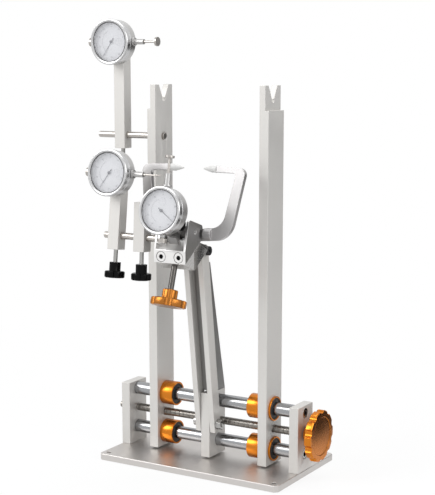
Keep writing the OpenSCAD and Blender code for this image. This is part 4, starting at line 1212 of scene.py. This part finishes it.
@dataclass
class DialGauge(SubAssembly):
    """A dial gauge: case, turning bezel with glass and face, pointer and spindle.

    Attributes:
        name: which gauge it is.
        stem: which way its stem points.
        lean: how far its face leans back, in degrees.
        bezel_mid: from the spindle's axis out to the middle of the bezel.
        face_front: from there out to the front of the card.
        tick_r: radius of the ring of ticks.
        number_r: radius of the numbers.
        ink: thickness of the print.
        tick_count: number of ticks.
        number_size: size of the numbers' type.
        arc_r: radius of the inner arc.
        arc: angle where it starts, and the angle that it spreads over.
        counter_r: radius of the turn counter.
        counter_out: from the dial's middle to the counter's, towards the stem.
        counter_number_r: radius of the counter's numbers.
        counter_number_size: size of their type.
        hand_mid: from the counter's middle to the middle of its hand.
        hand_turn: angle of that hand.
        cap_out: from the dial's middle to the middle of the cap.
        rib_r: radius of the ring of ribs on it.
        rib: size of a rib.
        rib_count: number of ribs.
    """

    name: str = "top"
    stem: Stem = Stem.RIGHT
    lean: float = 0.0
    bezel_mid: float = 8.3 * MM
    face_front: float = 6.9 * MM
    tick_r: float = 22.6 * MM
    number_r: float = 18.3 * MM
    ink: float = 0.03 * MM
    tick_count: int = 100
    number_size: float = 2.7 * MM
    arc_r: float = 13.6 * MM
    arc: Point = (math.radians(115), math.radians(130))
    counter_r: float = 4.6 * MM
    counter_out: float = 10.2 * MM
    counter_number_r: float = 2.9 * MM
    counter_number_size: float = 1.35 * MM
    hand_mid: float = 1.5 * MM
    hand_turn: float = math.radians(52)
    cap_out: float = 33.5 * MM
    rib_r: float = 5.2 * MM
    rib: tuple[float, float, float] = (0.5 * MM, 0.45 * MM, 3.6 * MM)
    rib_count: int = 36

    def build(self) -> None:
        """Makes the whole gauge."""
        self.parts = [Part(f"dial_{self.name}_case", DIAL_CASE, 0.3),
                      Part(f"dial_{self.name}_pointer", POINTER_INK, 0.0),
                      Part(f"dial_{self.name}_spindle", SPINDLE_STEEL, 0.15)]
        self.dress()
        self.turn_bezel()
        self.print_face()
        self.knurl_cap()

    def axes(self) -> Matrix:
        """Frame of the dial: X to the right, -Y out of the face, Z up its lean, origin on the spindle's axis.

        Returns:
            The place of that frame.
        """
        low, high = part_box(f"dial_{self.name}_bezel")
        tilt = Matrix.Rotation(-math.radians(self.lean), 4, "X")
        return Matrix.Translation((low + high) / 2) @ tilt @ Matrix.Translation((0.0, self.bezel_mid, 0.0))

    def turn_bezel(self) -> None:
        """Turns the metal ring, the glass, the printed card and a black ring of painted shade at the glass's
        edge.
        """
        outward = self.axes() @ Matrix.Rotation(math.pi / 2, 4, "X")
        palette, body = self.shop.palette, f"{self.name}_bezel"
        ring = [(25.05, 3.6), (27.0, 3.6), (27.3, 3.9), (27.3, 5.2), (27.0, 5.5), (27.0, 6.0), (27.5, 6.4),
                (27.5, 11.7), (27.35, 12.3), (26.9, 12.8), (26.3, 13.0), (25.5, 12.95), (24.7, 12.7),
                (24.0, 12.3), (23.6, 11.6), (23.6, 10.9), (24.2, 10.7), (24.2, 6.4), (25.05, 6.4)]
        # Painted shade: a thin black ring at the glass's edge for the dark line of shade inside the bezel.
        shade_ring = [(23.1, 11.8), (23.65, 11.8), (23.65, 12.15), (23.1, 12.1)]
        card = [(0.0, 6.9), (23.4, 6.9), (24.15, 6.9), (24.15, 6.4), (2.0, 6.4), (0.0, 6.4)]
        lens = [(0.0, 12.1), (12.0, 12.05), (20.0, 11.9), (23.5, 11.7), (23.5, 10.8), (0.0, 10.8)]
        for name, outline, material, slot in (
                ("ring", ring, palette.of(DIAL_BEZEL), DIAL_BEZEL.slot),
                ("card", card, palette.of(DIAL_CARD), DIAL_CARD.slot),
                ("shade_ring", shade_ring, palette.of(RUBBER_SEAL_AND_SHADE), DIAL_BEZEL.slot),
                ("glass", lens, palette.glass(), DIAL_BEZEL.slot)):
            mesh = lathe([(r * MM, z * MM) for r, z in outline])
            finish_mesh(mesh, outward, material, sharp=28.0)
            replaced = (f"dial_{self.name}_bezel",) if name == "ring" else ()
            self.shop.add(f"dial_{self.name}_{name}", mesh, body, slot, *replaced)

    def print_face(self) -> None:
        """Prints ticks, numbers, the inner arc and the turn counter on the card."""
        ink = self.shop.palette.of(DIAL_INK)
        meshes = [self.ring_of_ticks(self.tick_count // every, self.tick_r - inset * MM, length, width)
                  for every, inset, length, width in (
                      (1, 0.0, 1.5, 0.16), (5, 0.4, 2.3, 0.2), (10, 0.7, 2.9, 0.28))]
        meshes += [self.ring_of_ticks(count, self.arc_r + out * MM, length, width, *self.arc)
                   for count, out, length, width in ((120, 0.0, 0.24, 0.9), (14, 0.7, 1.3, 0.16))]
        meshes += self.ring_of_numbers(range(0, 100, 10), self.number_size, self.number_r)
        counter = [self.ring_of_ticks(count, self.counter_r - inset * MM, length, width)
                   for count, inset, length, width in ((10, 0.4, 0.8, 0.14), (72, 0.0, 0.12, 0.42))]
        counter += self.ring_of_numbers(range(0, 10, 2), self.counter_number_size, self.counter_number_r)
        counter.append(self.ring_of_ticks(1, self.hand_mid, 3.0, 0.22, self.hand_turn))
        out = self.counter_out
        shift = Matrix.Translation((out, 0.0, 0.0) if self.stem is Stem.RIGHT else (0.0, out, 0.0))
        for mesh in counter:
            mesh.transform(shift)
        whole = joined(meshes + counter)
        outward = self.axes() @ Matrix.Rotation(math.pi / 2, 4, "X") @ Matrix.Translation(
            (0.0, 0.0, self.face_front + self.ink / 2))
        finish_mesh(whole, outward, ink)
        self.shop.add(f"dial_{self.name}_print", whole, f"{self.name}_bezel", DIAL_INK.slot)

    def ring_of_ticks(self, count: int, radius: float, length: float, width: float,
                      start: float = math.pi / 2, sweep: float = 2 * math.pi) -> bpy.types.Mesh:
        """Printed ticks round the face.

        Args:
            count: number of ticks.
            radius: radius at their middle, in metres.
            length: length of a tick along the radius, in millimetres.
            width: its width, in millimetres.
            start: angle of the first tick.
            sweep: angle that they spread over.

        Returns:
            The ticks, flat on the plane of X and Y.
        """
        return grow(self.shop.trees.spokes,
                    {"Count": count, "Radius": radius, "Bar": (length * MM, width * MM, self.ink),
                     "Start": start, "Sweep": sweep, "Material": self.shop.palette.of(DIAL_INK)})

    def ring_of_numbers(self, values: range, size: float, radius: float) -> list[bpy.types.Mesh]:
        """Printed numbers, clockwise from the top and evenly spread.

        Args:
            values: the numbers.
            size: size of the type.
            radius: radius at their middle.

        Returns:
            The numbers as meshes in the plane of X and Y.
        """
        meshes = []
        for k, value in enumerate(values):
            curve = bpy.data.curves.new("digits", "FONT")
            curve.body = str(value)
            curve.size = size
            curve.align_x, curve.align_y = "CENTER", "CENTER"
            curve.extrude = self.ink / 2
            curve.resolution_u = 3
            mesh = evaluated_mesh(new_object("digits", curve))
            angle = math.pi / 2 - 2 * math.pi * k / len(values)
            mesh.transform(Matrix.Translation((radius * math.cos(angle), radius * math.sin(angle), 0.0)))
            meshes.append(mesh)
        return meshes

    def knurl_cap(self) -> None:
        """Sets fine ribs round the cap at the tail of the spindle."""
        steel = self.shop.palette.of(SPINDLE_STEEL)
        ribs = grow(self.shop.trees.spokes,
                    {"Count": self.rib_count, "Radius": self.rib_r, "Bar": self.rib,
                     "Start": 0.0, "Sweep": 2 * math.pi, "Material": steel})
        along = Matrix.Rotation(self.stem.value, 4, "Y") @ Matrix.Translation((0.0, 0.0, -self.cap_out))
        finish_mesh(ribs, self.axes() @ along, steel)
        self.shop.add(f"dial_{self.name}_cap_ribs", ribs, f"{self.name}_spindle", SPINDLE_STEEL.slot)


# Studio

@dataclass
class Studio:
    """White floor and surroundings, soft lamps, reflection cards and the camera.

    Attributes:
        eye: place of the camera.
        aim: direction in which it looks.
        lens: its focal length in millimetres.
        sensor: side of its sensor in millimetres.
        shift: shift of its lens.
        heart: point that the lamps and most cards face.
        sky: strength of the light from all round.
        sky_colour: its colour.
        floor_half: half the floor's side.
        floor_gap: how far the floor lies under the object.
        floor_grey: its linear grey.
        floor_roughness: its roughness.
        whiteness: how far the floor's own white covers its shading near the object.
        fade: distances between which that grows to all of it.
    """

    eye: tuple[float, float, float] = (0.7867, -1.3167, 0.4874)
    aim: tuple[float, float, float] = (-0.5050, 0.8452, -0.1749)
    lens: float = 93.02
    sensor: float = 36.0
    shift: Point = (0.0063, 0.0869)
    heart: tuple[float, float, float] = (0.0, 0.0, 0.25)
    sky: float = 0.62
    sky_colour: Colour = (0.97, 0.98, 1.0)
    floor_half: float = 6.0
    floor_gap: float = 0.4 * MM
    floor_grey: float = 0.86
    floor_roughness: float = 0.9
    whiteness: float = 0.86
    fade: Point = (0.2, 0.9)

    def build(self) -> None:
        """Sets up the studio."""
        settings = bpy.context.scene.view_settings
        settings.view_transform = "Standard"
        self.lay_floor()
        self.light_world()
        self.hang_lamps()
        self.stand_cards()
        self.set_camera()

    def seen(self, tree: bpy.types.NodeTree) -> bpy.types.NodeSocket:
        """A mask of the rays that see the background: camera, glossy and transmission rays.

        Args:
            tree: tree that gets the nodes.

        Returns:
            The mask's socket.
        """
        path = tree.nodes.new("ShaderNodeLightPath").outputs
        mask = math_node(tree, "MAXIMUM", path["Is Camera Ray"], path["Is Glossy Ray"])
        return math_node(tree, "MAXIMUM", mask, path["Is Transmission Ray"])

    def lay_floor(self) -> None:
        """Lays a pale floor that reads as white and keeps the object's shadow."""
        floor = flat_sheet("floor", self.floor_half, self.floor_grey, self.floor_roughness)
        floor.location.z = -self.floor_gap
        tree = floor.data.materials[0].node_tree
        place = tree.nodes.new("ShaderNodeTexCoord").outputs["Object"]
        far = add_node(tree, "ShaderNodeVectorMath", {0: place}, operation="LENGTH").outputs["Value"]
        near, away = self.fade
        fade = add_node(tree, "ShaderNodeMapRange",
                        {"Value": far, "From Min": near, "From Max": away, "To Min": self.whiteness},
                        interpolation_type="SMOOTHSTEP")
        mix = add_node(tree, "ShaderNodeMixShader",
                       {0: math_node(tree, "MULTIPLY", self.seen(tree), fade),
                        1: tree.nodes["Principled BSDF"], 2: tree.nodes.new("ShaderNodeEmission")})
        connect(tree, tree.nodes["Material Output"], {"Surface": mix})

    def light_world(self) -> None:
        """Lights the object softly from all round, before a white background."""
        world = bpy.data.worlds.new("studio")
        bpy.context.scene.world = world
        world.use_nodes = True
        tree = world.node_tree
        soft = tree.nodes["Background"]
        connect(tree, soft, {"Color": (*self.sky_colour, 1.0), "Strength": self.sky})
        white = add_node(tree, "ShaderNodeBackground", {"Color": (1.0, 1.0, 1.0, 1.0)})
        mix = add_node(tree, "ShaderNodeMixShader", {0: self.seen(tree), 1: soft, 2: white})
        connect(tree, tree.nodes["World Output"], {"Surface": mix})

    def hang_lamps(self) -> None:
        """Hangs a large soft lamp in front on the left, a weaker one on the right and one above."""
        for name, spot, size, power in (("key", (-1.5, -1.6, 1.6), 1.2, 29.0),
                                        ("fill", (1.9, -0.5, 1.2), 1.2, 14.0),
                                        ("top", (0.0, 0.5, 2.2), 1.4, 16.0)):
            lamp = bpy.data.lights.new(name, "AREA")
            lamp.size = size
            lamp.energy = power
            holder = new_object(name, lamp)
            holder.location = spot
            holder.rotation_euler = (Vector(self.heart) - Vector(spot)).to_track_quat("-Z", "Y").to_euler()

    def stand_cards(self) -> None:
        """Stands grey cards out of view, which the polished metal mirrors."""
        up = (0.32, 0.28, 1.0)
        for name, spot, target, width, height, grey in (
                ("card_right", (0.62, 0.95, 0.16), self.heart, 1.1, 0.8, 0.04),
                ("card_knob", (0.34, 0.28, 0.002), up, 0.34, 0.44, 0.015),
                ("card_back", (-0.9, 1.5, 0.35), self.heart, 1.5, 0.6, 0.55),
                ("card_left", (-1.6, 0.3, 0.4), self.heart, 1.0, 1.2, 0.35)):
            card = flat_sheet(name, 0.5, grey, 1.0)
            card.scale = (width, height, 1.0)
            card.location = spot
            card.rotation_euler = (Vector(target) - Vector(spot)).to_track_quat("Z", "Y").to_euler()
            card.visible_camera = False
            card.visible_shadow = False
            card.visible_diffuse = False

    def set_camera(self) -> None:
        """Puts the camera at the photograph's place."""
        camera = bpy.data.cameras.new("camera")
        camera.sensor_fit = "VERTICAL"
        camera.sensor_height = self.sensor
        camera.sensor_width = self.sensor
        camera.lens = self.lens
        camera.shift_x, camera.shift_y = self.shift
        camera.clip_end = 50.0
        holder = new_object("camera", camera)
        holder.location = self.eye
        holder.rotation_euler = Vector(self.aim).to_track_quat("-Z", "Y").to_euler()
        bpy.context.scene.camera = holder


def main() -> None:
    """Dresses the truing stand and sets up its studio."""
    logging.basicConfig(level=logging.INFO, format="%(message)s")
    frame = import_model()
    shop = Workshop(frame, Palette(), RepeatTrees())
    for assembly in (Base(shop), Drive(shop), Uprights(shop), Arm(shop), Carriage(shop), Jaws(shop),
                     GaugeBars(shop),
                     DialGauge(shop, name="top", stem=Stem.RIGHT, lean=0.0),
                     DialGauge(shop, name="side", stem=Stem.RIGHT, lean=7.0),
                     DialGauge(shop, name="centre", stem=Stem.UP, lean=10.5)):
        assembly.build()
    Studio().build()


if __name__ == "__main__":
    main()
